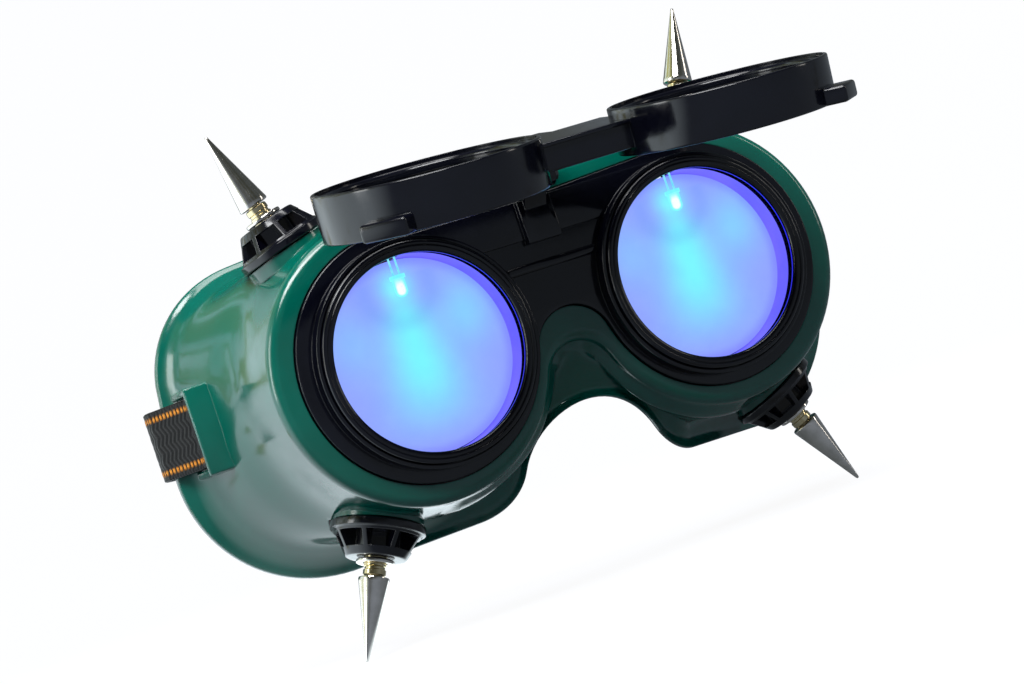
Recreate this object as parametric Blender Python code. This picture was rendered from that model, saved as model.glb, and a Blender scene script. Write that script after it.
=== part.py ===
"""Flip-up welding goggles with lit lenses, vent caps and screw-on spikes (Blender 4.5, metres, +Z up).

X runs across the face, the front looks along -Y and Z is up. The origin lies midway between the
temples, level with the lens axes. A "depth" is a distance behind the front plane of the eye rings.
"""
from math import acos, atan2, cos, exp, pi, radians, sin, sqrt, tan

import bmesh
import bpy
from mathutils import Matrix, Vector
from mathutils.geometry import tessellate_polygon

# ---- Driving sizes -------------------------------------------------------------------------------
LENS_R = 0.025              # standard 50 mm round welding lens
EYE_X = 0.03775             # half the spacing of the two lens centres
TEMPLE_DEPTH = 0.052        # depth of the face flange at the temples
GAP = 0.0003                # clearance between pieces that touch
WELD = 0.000002             # points closer than this are one point
EDGE = 0.0003               # small chamfer
ROUND = 0.0004              # larger chamfer
OVERRUN = 0.001             # how far a cutter runs past the surface it opens
RING_SEGMENTS = 32
SMALL_SEGMENTS = 16
TINY_SEGMENTS = 10

# ---- Eye openings --------------------------------------------------------------------------------
APERTURE_R = LENS_R - 0.0015
RING_OUTER_R = LENS_R + 0.0013
RING_LIP = 0.0016
RING_CHAMFER = 0.0007
RING_GROOVE = 0.0001        # depth of the line between the ring and its lip
RING_SKIRT = 0.0046
BARREL_WALL = 0.0009
BARREL_DEPTH = 0.0012       # front edge of the barrel round the ring
BARREL_OUTER_R = RING_OUTER_R + GAP + BARREL_WALL
TUBE_OUTER_R = LENS_R
TUBE_INNER_R = LENS_R - 0.0012
TUBE_STEP_R = LENS_R - 0.0027
CLEAR_LENS_THICK = 0.002
CLEAR_LENS_DEPTH = RING_LIP + GAP
TUBE_FRONT_DEPTH = CLEAR_LENS_DEPTH + CLEAR_LENS_THICK + GAP
CHAMBER = 0.0053            # space for the LED between the clear lens and the diffuser
DIFFUSER_DEPTH = TUBE_FRONT_DEPTH + CHAMBER
DIFFUSER_THICK = 0.0015
TUBE_STEP_DEPTH = DIFFUSER_DEPTH + DIFFUSER_THICK + GAP
TUBE_END_DEPTH = TUBE_STEP_DEPTH + 0.0015

# ---- Front plate ---------------------------------------------------------------------------------
PLATE_DEPTH = 0.005
PLATE_THICK = 0.0048
PLATE_REAR_DEPTH = PLATE_DEPTH + PLATE_THICK
PLATE_FLANGE = 0.0016       # how far the rear flange reaches behind the shell's lip
PLATE_SHIFT = 0.00125       # outward shift of the plate's lobes from the lens axes
PLATE_R = BARREL_OUTER_R + 0.0026
PLATE_TOP_DROP = 0.0021
PLATE_NOTCH_Z = 0.0006
PANEL_STEP_Z = 0.0183
PANEL_STEP = 0.0006
RIDGE_Z = 0.0105
RIDGE_HEIGHT = 0.0021
RIDGE_PROUD = 0.0016
RIDGE_HALF = 0.012
BLOCK_HALF = 0.0045
BLOCK_PROUD = 0.0024

# ---- Face shell ----------------------------------------------------------------------------------
SHELL_DEPTH = 0.006
SHELL_WALL = 0.002
FACE_MARGIN = 0.005         # green margin round the plate
FACE_SHIFT = 0.0014         # outward shift of the face lobes from the plate's
FACE_R = PLATE_R + FACE_MARGIN
FACE_NOTCH_DROP = 0.0087
FACE_TOP_DROP = 0.0016
EDGE_ROUND = 0.0026
WALL_SWELL = 0.0024         # growth of the wall halfway back
WALL_END = 0.8              # share of the depth where the wall meets the flange
FLANGE_EDGE = 0.002
FLANGE_WIDTH = 0.005
NOSE_DEPTH = 0.013          # flange depth over the nose
BROW_DEPTH = 0.032          # flange depth over the brow
FACE_TURN = 0.025           # height over which the nose line gives way to the brow line
FACE_CURVE = 0.045          # half-width over which the flange falls back to the temples

# ---- Strap lugs and strap ------------------------------------------------------------------------
STRAP_WIDTH = 0.0175
STRAP_THICK = 0.0011
STRAP_BOW = 0.045           # reach of the slack strap behind the temples
STRAP_STRAIGHT = 0.034      # half-length of the straight run at the back
SEWN_FAR = 0.0062           # sewn end behind the bar
SEWN_NEAR = 0.0044
STRAP_PLAY = 0.0004         # extra play between the strap's layers and past the temple
STRAP_CLEAR = 0.0024        # straight run behind the temple, before the strap turns
LUG_RIB = 0.00185
LUG_WALL = 0.0016
LUG_SETBACK = 0.0165        # lug's front wall, in front of the flange at the temples
LUG_DEPTH = TEMPLE_DEPTH - LUG_SETBACK
LUG_LENGTH = 0.0125
LUG_SKIN = 0.0006           # how far the lug stands out beyond the strap
LUG_ROOT_RUN = 0.012        # length of the lug's root inside the wall
BAR_THICK = 0.0012
BAR_LENGTH = 0.0022
BAR_OUT = 0.0016            # bar's outer face, outside the foot of the wall
RECESS_RUN = 0.001
RECESS_TAIL = 0.004
RECESS_RISE = 0.0036

# ---- Flip-up frame -------------------------------------------------------------------------------
OPEN_ANGLE = radians(79.4)
CUP_R = LENS_R + 0.0012
CUP_HEIGHT = 0.0112
CUP_WALL = 0.0009
CUP_SKIRT_WALL = 0.0014
SHADE_THICK = 0.003
FLIP_RING_DEPTH = 0.0009
FLIP_RING_THICK = 0.0021
FLIP_RING_WALL = 0.002
CUP_LEDGE = 0.0012
CUP_LEDGE_WIDTH = 0.0018
BRIDGE_FRONT = 0.009        # the bridge panel's reach in front of the rings, closed
BRIDGE_REAR = 0.0023
BRIDGE_WALL = 0.0016
BRIDGE_SKIN = 0.0005
BRIDGE_LIP = 0.0008
TONGUE_MARGIN = 0.0012
BRIDGE_HALF = 0.020
BRIDGE_LOW_Z = -0.003
BRIDGE_HIGH_Z = 0.027
HINGE_DEPTH = 0.0007
HINGE_RISE = 0.0037         # hinge axis above the plate's top edge
PIN_R = 0.00125
PIN_PLAY = 0.0002
PIN_HOLE_REACH = 0.01
PIN_PROUD = 0.0005          # pin's reach beyond the knuckles
PIN_HEAD_R = PIN_R + 0.0008
PIN_HEAD = 0.0007
EAR_TOE = 0.0014            # foot of the ear behind the barrel's front
EAR_ROOT = 0.003            # height of the ear's root in the plate
EAR_HALF = 0.0029
KNUCKLE_WIDTH = 0.0024
KNUCKLE_R = 0.003
TAB_WIDTH = 0.011
TAB_THICK = 0.004
TAB_REACH = 0.0043
TAB_ROOT = 0.002

# ---- Vents and spikes ----------------------------------------------------------------------------
VENT_PLACE = radians(23.6)  # direction of the vents from the centre of the shell's corner
UPPER_TILT = radians(17.0)  # outward tilt from the vertical
UPPER_LEAN = radians(-2.0)  # forward lean
LOWER_TILT = radians(26.0)
LOWER_LEAN = radians(4.5)
VENT_DEPTH = 0.025
VENT_RIM_R = 0.0115
VENT_RIM = 0.002
VENT_STEP = 0.0007          # step from the rim to the cone, and border of the windows
VENT_TOP_R = 0.00725
VENT_HEIGHT = 0.0082
VENT_WALL = 0.0012
VENT_WINDOWS = 8
VENT_RIB = 0.0011           # width of the ribs between the windows
BAFFLE_WALL = 0.0011        # inner tube behind the windows
BAFFLE_SLIT = 0.0009        # height of the air slits at the foot of the windows
NECK_R = 0.007
NECK_LENGTH = 0.005
BOSS_DEPTH = 0.0035         # thickness of the shell's boss under a vent
SCREW_HEAD_R = 0.0036
SCREW_HEAD = 0.0017
SCREW_SHANK_R = 0.00275
SCREW_THREAD_R = 0.0015
SCREW_THREAD = 0.005
COLLAR_R = 0.00465
COLLAR_THICK = 0.001
SPIKE_STANDOFF = 0.0029     # neck left showing between the collar and the spike
SPIKE_BASE_R = 0.00375
SPIKE_TIP_R = 0.0004
SPIKE_LENGTH = 0.020

# ---- Lamps and power -----------------------------------------------------------------------------
LED_R = 0.0015
LED_FLANGE_R = 0.0019
LED_DROP = 0.0055           # lamp's flange below the edge of the lens
LED_FLANGE_Z = LENS_R - LED_DROP
LED_LENGTH = 0.0053
LED_FLANGE_THICK = 0.0009
LED_SETBACK = 0.0022        # lamp's axis behind the front of the tube
LEAD_TAIL = 0.0022          # lead's reach behind the tube
LEAD = 0.0005
LEAD_HALF_PITCH = 0.0008
CHANNEL_HALF = 0.0016
CHANNEL_TOP = 0.0006        # height of the wiring channel above the tube
WIRE_R = 0.0008
CELL_R = 0.010
CELL_THICK = 0.0032
CELL_STEP = 0.001
CELL_SINK = 0.0001
HOLDER_HALF = 0.0115
HOLDER_LOW_Z = 0.0025
HOLDER_HEIGHT = 0.024
HOLDER_FLOOR = 0.0012
CLIP_HALF = 0.0025
CLIP_THICK = 0.0005
SWITCH_HALF = 0.0045
SWITCH_HEIGHT = 0.0054
SWITCH_THICK = 0.0038
KNOB_HALF = 0.001
KNOB_HEIGHT = 0.002
KNOB_PROUD = 0.002
SWITCH_TRAVEL = 0.003
SLOT_DEPTH = 0.0018

# ---- Strap slider --------------------------------------------------------------------------------
SLIDER_HALF = 0.008
SLIDER_RAIL = 0.0024
SLIDER_BAR = 0.0012
SLIDER_END = 0.0022
SLIDER_CENTRE = 0.0015
SLIDER_REST_X = 0.010

PLATE_TOP_Z = PLATE_R - PLATE_TOP_DROP
HINGE_Z = PLATE_TOP_Z + HINGE_RISE
KNUCKLE_IN = EAR_HALF + GAP
KNUCKLE_OUT = KNUCKLE_IN + KNUCKLE_WIDTH
BAFFLE_IN_R = SCREW_HEAD_R + 0.0009
BAFFLE_OUT_R = BAFFLE_IN_R + BAFFLE_WALL

COLOURS = {
    "green_vinyl": ((0.0, 0.17, 0.12), 0.3, 0.0),
    "black_plastic": ((0.008, 0.009, 0.014), 0.25, 0.0),
    "clear_lens": ((0.8, 0.85, 0.9), 0.05, 0.0),
    "diffuser": ((0.25, 0.4, 1.0), 0.5, 0.0),
    "led": ((0.5, 1.0, 1.0), 0.2, 0.0),
    "shade_glass": ((0.01, 0.03, 0.02), 0.05, 0.0),
    "nickel": ((0.75, 0.73, 0.7), 0.15, 1.0),
    "gold_screw": ((0.7, 0.58, 0.32), 0.25, 1.0),
    "pin_steel": ((0.5, 0.5, 0.5), 0.3, 1.0),
    "webbing": ((0.01, 0.01, 0.01), 0.8, 0.0),
    "wire": ((0.4, 0.02, 0.02), 0.5, 0.0),
}


# ---- Helpers -------------------------------------------------------------------------------------
def clear_scene():
    for obj in list(bpy.data.objects):
        bpy.data.objects.remove(obj, do_unlink=True)


def paint(obj, slot):
    """Give the object its own Principled material."""
    colour, roughness, metallic = COLOURS[slot]
    material = bpy.data.materials.new(obj.name + "_" + slot)
    material.use_nodes = True
    shader = material.node_tree.nodes["Principled BSDF"]
    shader.inputs["Base Color"].default_value = (*colour, 1.0)
    shader.inputs["Roughness"].default_value = roughness
    shader.inputs["Metallic"].default_value = metallic
    obj.data.materials.clear()
    obj.data.materials.append(material)


def mesh_object(name, verts, faces):
    """A closed mesh object with its faces pointing out."""
    bm = bmesh.new()
    points = [bm.verts.new(v) for v in verts]
    for face in faces:
        bm.faces.new([points[i] for i in face])
    bmesh.ops.recalc_face_normals(bm, faces=bm.faces)
    mesh = bpy.data.meshes.new(name)
    bm.to_mesh(mesh)
    bm.free()
    obj = bpy.data.objects.new(name, mesh)
    bpy.context.collection.objects.link(obj)
    return obj


def finish(obj, slot):
    """Shade smooth with crisp edges, and paint."""
    obj.data.shade_smooth()
    obj.data.set_sharp_from_angle(angle=radians(32))
    paint(obj, slot)
    return obj


def weld(mesh):
    """Merge the near-coincident points that a Boolean leaves."""
    bm = bmesh.new()
    bm.from_mesh(mesh)
    bmesh.ops.remove_doubles(bm, verts=bm.verts, dist=WELD)
    bmesh.ops.dissolve_degenerate(bm, edges=bm.edges, dist=WELD)
    bm.to_mesh(mesh)
    bm.free()


def combine(target, tool, operation):
    """Apply an exact Boolean to the target and drop the tool."""
    modifier = target.modifiers.new(operation, "BOOLEAN")
    modifier.operation = operation
    modifier.solver = "EXACT"
    modifier.object = tool
    bpy.context.view_layer.update()
    graph = bpy.context.evaluated_depsgraph_get()
    result = bpy.data.meshes.new_from_object(target.evaluated_get(graph))
    target.modifiers.clear()
    target.data = result
    bpy.data.objects.remove(tool, do_unlink=True)
    weld(result)
    return target


def in_triangles(obj):
    """Split a body's large faces, so that the next Booleans meet flat ones only."""
    mesh = bmesh.new()
    mesh.from_mesh(obj.data)
    bmesh.ops.triangulate(mesh, faces=mesh.faces[:])
    mesh.to_mesh(obj.data)
    mesh.free()


def join(target, *tools):
    for tool in tools:
        combine(target, tool, "UNION")
    return target


def cut(target, *tools):
    for tool in tools:
        combine(target, tool, "DIFFERENCE")
    return target


def at(x, depth, z):
    """A point given by its depth behind the eye rings' front plane."""
    return Vector((x, depth - TEMPLE_DEPTH, z))


def block(name, x_range, depth_range, z_range):
    """A box between two corners, in depth coordinates."""
    verts = [at(x, d, z) for x in x_range for d in depth_range for z in z_range]
    faces = [(0, 1, 3, 2), (4, 6, 7, 5), (0, 4, 5, 1), (2, 3, 7, 6), (0, 2, 6, 4), (1, 5, 7, 3)]
    return mesh_object(name, verts, faces)


def turned(name, profile, segments, closed):
    """Turn a profile of (radius, height) about local Z. A closed profile makes a ring."""
    verts = []
    loops = []
    for radius, height in profile:
        if radius == 0.0:
            verts.append((0.0, 0.0, height))
            loops.append([len(verts) - 1] * segments)
            continue
        first = len(verts)
        for i in range(segments):
            angle = 2 * pi * i / segments
            verts.append((radius * cos(angle), radius * sin(angle), height))
        loops.append(list(range(first, first + segments)))
    pairs = list(zip(loops, loops[1:]))
    if closed:
        pairs.append((loops[-1], loops[0]))
    faces = []
    for low, high in pairs:
        for i in range(segments):
            j = (i + 1) % segments
            corners = [low[i], low[j], high[j], high[i]]
            faces.append(list(dict.fromkeys(corners)))
    if not closed:
        faces += [loop for loop in (loops[0], loops[-1]) if len(set(loop)) == segments]
    return mesh_object(name, verts, faces)


def face_front(obj, x, z=0.0):
    """Stand a turned piece on an eye axis, its heights read as depths."""
    obj.data.transform(Matrix.Translation(at(x, 0.0, z)) @ Matrix.Rotation(radians(-90), 4, "X"))
    return obj


def set_origin(obj, point):
    """Move the object's origin to a point and leave its mesh where it is."""
    obj.data.transform(Matrix.Translation(-point))
    obj.location = point
    return obj


def prism(name, outline, x_range):
    """Extrude a (depth, z) outline along X."""
    count = len(outline)
    verts = [at(x, d, z) for x in x_range for d, z in outline]
    faces = [list(range(count)), list(range(count, 2 * count))]
    faces += [(i, (i + 1) % count, (i + 1) % count + count, i + count) for i in range(count)]
    return mesh_object(name, verts, faces)


def mix(a, b, t):
    return a + (b - a) * t


def smooth_step(t):
    t = min(max(t, 0.0), 1.0)
    return t * t * (3 - 2 * t)


# ---- Outlines ------------------------------------------------------------------------------------
# An outline is (top z, corner lobe, cheek lobe, nose lobe, notch z) with lobes as (x, z, radius).
PLATE_LOBE = (EYE_X + PLATE_SHIFT, 0.0, PLATE_R)
PLATE = (PLATE_TOP_Z, PLATE_LOBE, PLATE_LOBE, PLATE_LOBE, PLATE_NOTCH_Z)
FACE_LOBE = (EYE_X + PLATE_SHIFT + FACE_SHIFT, 0.0, FACE_R)
FACE = (FACE_R - FACE_TOP_DROP, FACE_LOBE, FACE_LOBE, FACE_LOBE, PLATE_NOTCH_Z - FACE_NOTCH_DROP)
# The wall's foot and the flange widen from the face's lobe towards the temples and cheeks.
WALL_FOOT = (
    FACE_R + 0.0044,
    (FACE_LOBE[0] + 0.0191, 0.008, FACE_R - 0.0101),
    (FACE_LOBE[0] + 0.0161, -0.009, FACE_R - 0.0076),
    (FACE_LOBE[0] - 0.0094, -0.0255, FACE_R - 0.0246),
    PLATE_NOTCH_Z - 0.0181,
)
FLANGE = (
    FACE_R + 0.0069,
    (FACE_LOBE[0] + 0.0216, 0.009, FACE_R - 0.0071),
    (FACE_LOBE[0] + 0.0181, -0.010, FACE_R - 0.0014),
    (FACE_LOBE[0] - 0.0094, -0.0285, FACE_R - 0.0211),
    PLATE_NOTCH_Z - 0.0229,
)


def inset(outline, amount):
    """Shrink an outline by an amount all round."""
    top, corner, cheek, nose, notch = outline
    lobes = [(x, z, r - amount) for x, z, r in (corner, cheek, nose)]
    return (top - amount, *lobes, notch + amount)


def blend(first, second, t):
    """An outline part of the way from one to another."""
    lobes = [tuple(mix(a, b, t) for a, b in zip(p, q)) for p, q in zip(first[1:4], second[1:4])]
    return (mix(first[0], second[0], t), *lobes, mix(first[4], second[4], t))


def tangent_angle(first, second, side):
    """Direction of the normal that two lobes share, on one side of them."""
    dx, dz = second[0] - first[0], second[1] - first[1]
    return atan2(dz, dx) + side * acos((first[2] - second[2]) / sqrt(dx * dx + dz * dz))


TEMPLE_TURN = tangent_angle(FLANGE[1], FLANGE[2], 1)
CHIN_TURN = tangent_angle(FLANGE[2], FLANGE[3], 1)
HALF_STEPS = (5, 7, 9, 6, 4)


def half_outline(outline):
    """Points (x, z) down one side, from the top centre to the nose notch."""
    top, corner, cheek, nose, notch = outline
    reach = sqrt(corner[0] ** 2 + (top - corner[1]) ** 2)
    start = atan2(top - corner[1], -corner[0]) - acos(corner[2] / reach)
    drop = nose[1] - notch
    notch_r = (nose[0] ** 2 + drop ** 2 - nose[2] ** 2) / (2 * (nose[2] - drop))
    bridge = atan2(notch - notch_r - nose[1], -nose[0])
    top_n, corner_n, cheek_n, nose_n, notch_n = HALF_STEPS
    first = (corner[0] + corner[2] * cos(start), corner[1] + corner[2] * sin(start))
    points = [(first[0] * i / top_n, mix(top, first[1], i / top_n)) for i in range(top_n)]
    for lobe, a, b, n in ((corner, start, TEMPLE_TURN, corner_n), (cheek, TEMPLE_TURN, CHIN_TURN, cheek_n),
                          (nose, CHIN_TURN, bridge, nose_n)):
        for i in range(n):
            angle = mix(a, b, i / n)
            points.append((lobe[0] + lobe[2] * cos(angle), lobe[1] + lobe[2] * sin(angle)))
    for i in range(notch_n + 1):
        angle = mix(bridge + pi, pi / 2, i / notch_n)
        points.append((notch_r * cos(angle), notch - notch_r + notch_r * sin(angle)))
    return points


def full_outline(outline):
    """The whole outline, clockwise seen from the front, starting at the top centre."""
    half = half_outline(outline)
    return half + [(-x, z) for x, z in reversed(half[1:-1])]


def rear_depth(x, z):
    """Depth of the flange's rear edge: it follows the face round to the temples."""
    fall = 1 - exp(-((x / FACE_CURVE) ** 2))
    centre = mix(NOSE_DEPTH, BROW_DEPTH, smooth_step(0.5 + z / FACE_TURN))
    return mix(centre, TEMPLE_DEPTH, fall)


FLANGE_DEPTHS = [rear_depth(x, z) for x, z in full_outline(FLANGE)]


def section(outline, share, offset=0.0, flat=None):
    """One loop of a loft: at a share of the way back to the flange, or at a flat depth."""
    loop = []
    for (x, z), rear in zip(full_outline(outline), FLANGE_DEPTHS):
        depth = mix(SHELL_DEPTH, rear, share) + offset if flat is None else flat
        loop.append(at(x, depth, z))
    return loop


def cap(loop, first):
    """Triangles that close a loop, worked out on its front view."""
    flat = [Vector((point.x, point.z, 0.0)) for point in loop]
    return [tuple(first + i for i in triangle) for triangle in tessellate_polygon([flat])]


def loft(name, loops):
    """Skin a row of loops and close both ends."""
    count = len(loops[0])
    verts = [point for loop in loops for point in loop]
    faces = []
    for k in range(len(loops) - 1):
        for i in range(count):
            j = (i + 1) % count
            faces.append((k * count + i, k * count + j, (k + 1) * count + j, (k + 1) * count + i))
    faces += cap(loops[0], 0) + cap(loops[-1], (len(loops) - 1) * count)
    return mesh_object(name, verts, faces)


# ---- Face shell ----------------------------------------------------------------------------------
MIDDLE = inset(FACE, -WALL_SWELL)
OPENING = inset(PLATE, -GAP)


def wall_share(t):
    """Share of the depth at a step along the wall, 0 at the face and 1 at the flange's fillet."""
    return t * WALL_END


def shell_block():
    """The shell's outer form as a solid."""
    loops = [
        section(inset(FACE, EDGE_ROUND), 0.0, flat=SHELL_DEPTH),
        section(inset(FACE, EDGE_ROUND * 0.3), 0.0, flat=SHELL_DEPTH + EDGE_ROUND * 0.28),
        section(FACE, 0.0, offset=EDGE_ROUND),
        section(MIDDLE, wall_share(0.5)),
        section(blend(MIDDLE, WALL_FOOT, 0.6), wall_share(0.8)),
        section(WALL_FOOT, wall_share(1.0)),
        section(blend(WALL_FOOT, FLANGE, 0.28), mix(WALL_END, 1.0, 0.36)),
        section(blend(WALL_FOOT, FLANGE, 0.62), mix(WALL_END, 1.0, 0.62)),
        section(FLANGE, 1.0, offset=-FLANGE_EDGE),
        section(FLANGE, 1.0),
        section(inset(FLANGE, FLANGE_WIDTH + 0.0015), 1.0, offset=-0.0006),
    ]
    return loft("face_shell", loops)


def shell_cavity():
    """The hollow of the shell, from the plate opening to behind the flange."""
    face_inside = inset(FACE, SHELL_WALL + 0.0002)
    loops = [
        section(OPENING, 0.0, flat=SHELL_DEPTH - SHELL_WALL),
        section(OPENING, 0.0, flat=SHELL_DEPTH + SHELL_WALL),
        section(face_inside, 0.0, flat=SHELL_DEPTH + SHELL_WALL),
        section(inset(MIDDLE, SHELL_WALL), wall_share(0.5), offset=0.0004),
        section(inset(blend(MIDDLE, WALL_FOOT, 0.6), SHELL_WALL), wall_share(0.8), offset=0.0004),
        section(inset(WALL_FOOT, SHELL_WALL), wall_share(1.0), offset=0.0006),
        section(inset(FLANGE, FLANGE_WIDTH + 0.0005), 1.0, offset=-0.0014),
        section(inset(FLANGE, FLANGE_WIDTH), 0.0, flat=TEMPLE_DEPTH + 0.012),
    ]
    return loft("cavity", loops)


# The strap's layers and the lug's bar, as distances from the mid-plane.
TEMPLE_X = max(x for x, _ in full_outline(FLANGE))
STRAP_EDGE_X = TEMPLE_X + GAP + STRAP_THICK / 2 + STRAP_PLAY
LUG_ROOT_X = WALL_FOOT[2][0] + WALL_FOOT[2][2]
BAR_X = LUG_ROOT_X + BAR_OUT
BAR_DEPTH = LUG_DEPTH + LUG_WALL + STRAP_THICK + 3 * GAP
BAR_MID_X = BAR_X - BAR_THICK / 2
OUTER_RUN_X = BAR_X + GAP + STRAP_THICK / 2
LUG_OUTER_X = OUTER_RUN_X + STRAP_THICK / 2 + LUG_SKIN
LUG_HALF = STRAP_WIDTH / 2 + GAP


def upright_prism(name, outline, half):
    """Extrude an (x, depth) outline along Z, to half a height each way."""
    count = len(outline)
    verts = [at(x, depth, z) for z in (-half, half) for x, depth in outline]
    faces = [list(range(count)), list(range(count, 2 * count))]
    faces += [(i, (i + 1) % count, (i + 1) % count + count, i + count) for i in range(count)]
    return mesh_object(name, verts, faces)


def lug_bar(side, half):
    """The round-edged bar that the strap goes round."""
    radius = BAR_THICK / 2
    steps = 6
    front, rear = BAR_DEPTH + radius, BAR_DEPTH + BAR_LENGTH - radius
    outline = []
    for centre, start in ((rear, 0.0), (front, pi)):
        for i in range(steps + 1):
            angle = start + pi * i / steps
            outline.append((side * (BAR_MID_X + radius * cos(angle)), centre + radius * sin(angle)))
    return upright_prism("bar", outline, half)


def strap_lug(side):
    """Two ribs, a front wall and a bar, rooted in the side wall."""
    inner = LUG_ROOT_X - LUG_ROOT_RUN
    rear = LUG_DEPTH + LUG_LENGTH
    span = sorted((side * inner, side * LUG_OUTER_X))
    top = LUG_HALF + LUG_RIB
    lug = block("lug", span, (LUG_DEPTH, LUG_DEPTH + LUG_WALL), (-top, top))
    overlap = LUG_RIB / 2
    join(
        lug,
        block("rib", span, (LUG_DEPTH, rear), (LUG_HALF, top)),
        block("rib", span, (LUG_DEPTH, rear), (-top, -LUG_HALF)),
        lug_bar(side, LUG_HALF + overlap),
    )
    return lug


def vent_frames():
    """Name, base centre and outward direction of each vent."""
    centre_x = MIDDLE[1][0]
    radius = MIDDLE[1][2]
    depth_share = (VENT_DEPTH - SHELL_DEPTH) / (TEMPLE_DEPTH - SHELL_DEPTH)
    radius -= WALL_SWELL * (1 - min(1.0, depth_share / wall_share(0.5)))
    frames = []
    for level, up, tilt, lean in (("upper", 1, UPPER_TILT, UPPER_LEAN), ("lower", -1, LOWER_TILT, LOWER_LEAN)):
        for name, side in (("L", -1), ("R", 1)):
            out = Vector((side * sin(tilt), -sin(lean), up * cos(tilt))).normalized()
            wall = at(side * centre_x, VENT_DEPTH, 0.0)
            wall += radius * Vector((side * sin(VENT_PLACE), 0.0, up * cos(VENT_PLACE)))
            frames.append((level + "_" + name, wall + out * GAP, out))
    return frames


def along(base, out):
    """Matrix that stands local Z on a direction at a base point."""
    return Matrix.Translation(base) @ out.to_track_quat("Z", "Y").to_matrix().to_4x4()


def rod(name, base, out, radius, low, high, segments=SMALL_SEGMENTS):
    """A plain cylinder on a direction, used as a seat or a cutter."""
    obj = turned(name, [(0.0, low), (radius, low), (radius, high), (0.0, high)], segments, False)
    obj.data.transform(along(base, out))
    return obj


def vent_seat(base, out):
    """Cutter for a vent: a flat seat under the rim and a hole for the neck."""
    seat_r = VENT_RIM_R + GAP
    hole_r = NECK_R + GAP
    deep = BOSS_DEPTH + SHELL_WALL * 3
    over = SHELL_WALL * 2
    profile = [(0.0, -deep), (hole_r, -deep), (hole_r, -GAP), (seat_r, -GAP), (seat_r, over), (0.0, over)]
    cutter = turned("vent_seat", profile, SMALL_SEGMENTS, False)
    cutter.data.transform(along(base, out))
    return cutter


def strap_recess(side):
    """Cutter that lets the strap pass between the bar and the wall."""
    floor_x = BAR_X - BAR_THICK - 2 * GAP - STRAP_THICK
    front, bend = LUG_DEPTH + LUG_WALL / 2, BAR_DEPTH + BAR_LENGTH + RECESS_RUN
    foot = SHELL_DEPTH + (TEMPLE_DEPTH - SHELL_DEPTH) * WALL_END + RECESS_TAIL
    far = LUG_OUTER_X + STRAP_THICK
    outline = [(floor_x, front), (floor_x, bend), (floor_x + RECESS_RISE, foot), (far, foot), (far, front)]
    half = LUG_HALF + LUG_RIB / 2
    return upright_prism("recess", [(side * x, depth) for x, depth in outline], half)


def face_shell():
    shell = shell_block()
    cut(shell, strap_recess(-1), strap_recess(1))
    join(shell, strap_lug(-1), strap_lug(1))
    cut(shell, shell_cavity())
    in_triangles(shell)
    for _, base, out in vent_frames():
        join(shell, rod("boss", base, out, VENT_RIM_R - VENT_STEP, -BOSS_DEPTH, GAP))
        cut(shell, vent_seat(base, out))
    return finish(shell, "green_vinyl")


# ---- Front plate, rings and lenses ---------------------------------------------------------------
def hinge_ear():
    """The plate's ear, rounded about the hinge axis."""
    outline = [(BARREL_DEPTH + EAR_TOE, PLATE_TOP_Z - EAR_ROOT)]
    steps = 10
    for i in range(steps + 1):
        angle = mix(pi + 0.35, -0.6, i / steps)
        outline.append((HINGE_DEPTH + EAR_HALF * cos(angle), HINGE_Z + EAR_HALF * sin(angle)))
    outline.append((PLATE_DEPTH + EDGE, PLATE_TOP_Z - GAP))
    outline.append((PLATE_DEPTH + 2 * EDGE, PLATE_TOP_Z - EAR_ROOT))
    return prism("ear", outline, (-EAR_HALF, EAR_HALF))


def x_rod(name, radius, low, high, segments=TINY_SEGMENTS):
    """A cylinder along the hinge axis."""
    return rod(name, at(0.0, HINGE_DEPTH, HINGE_Z), Vector((1, 0, 0)), radius, low, high, segments)


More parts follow.
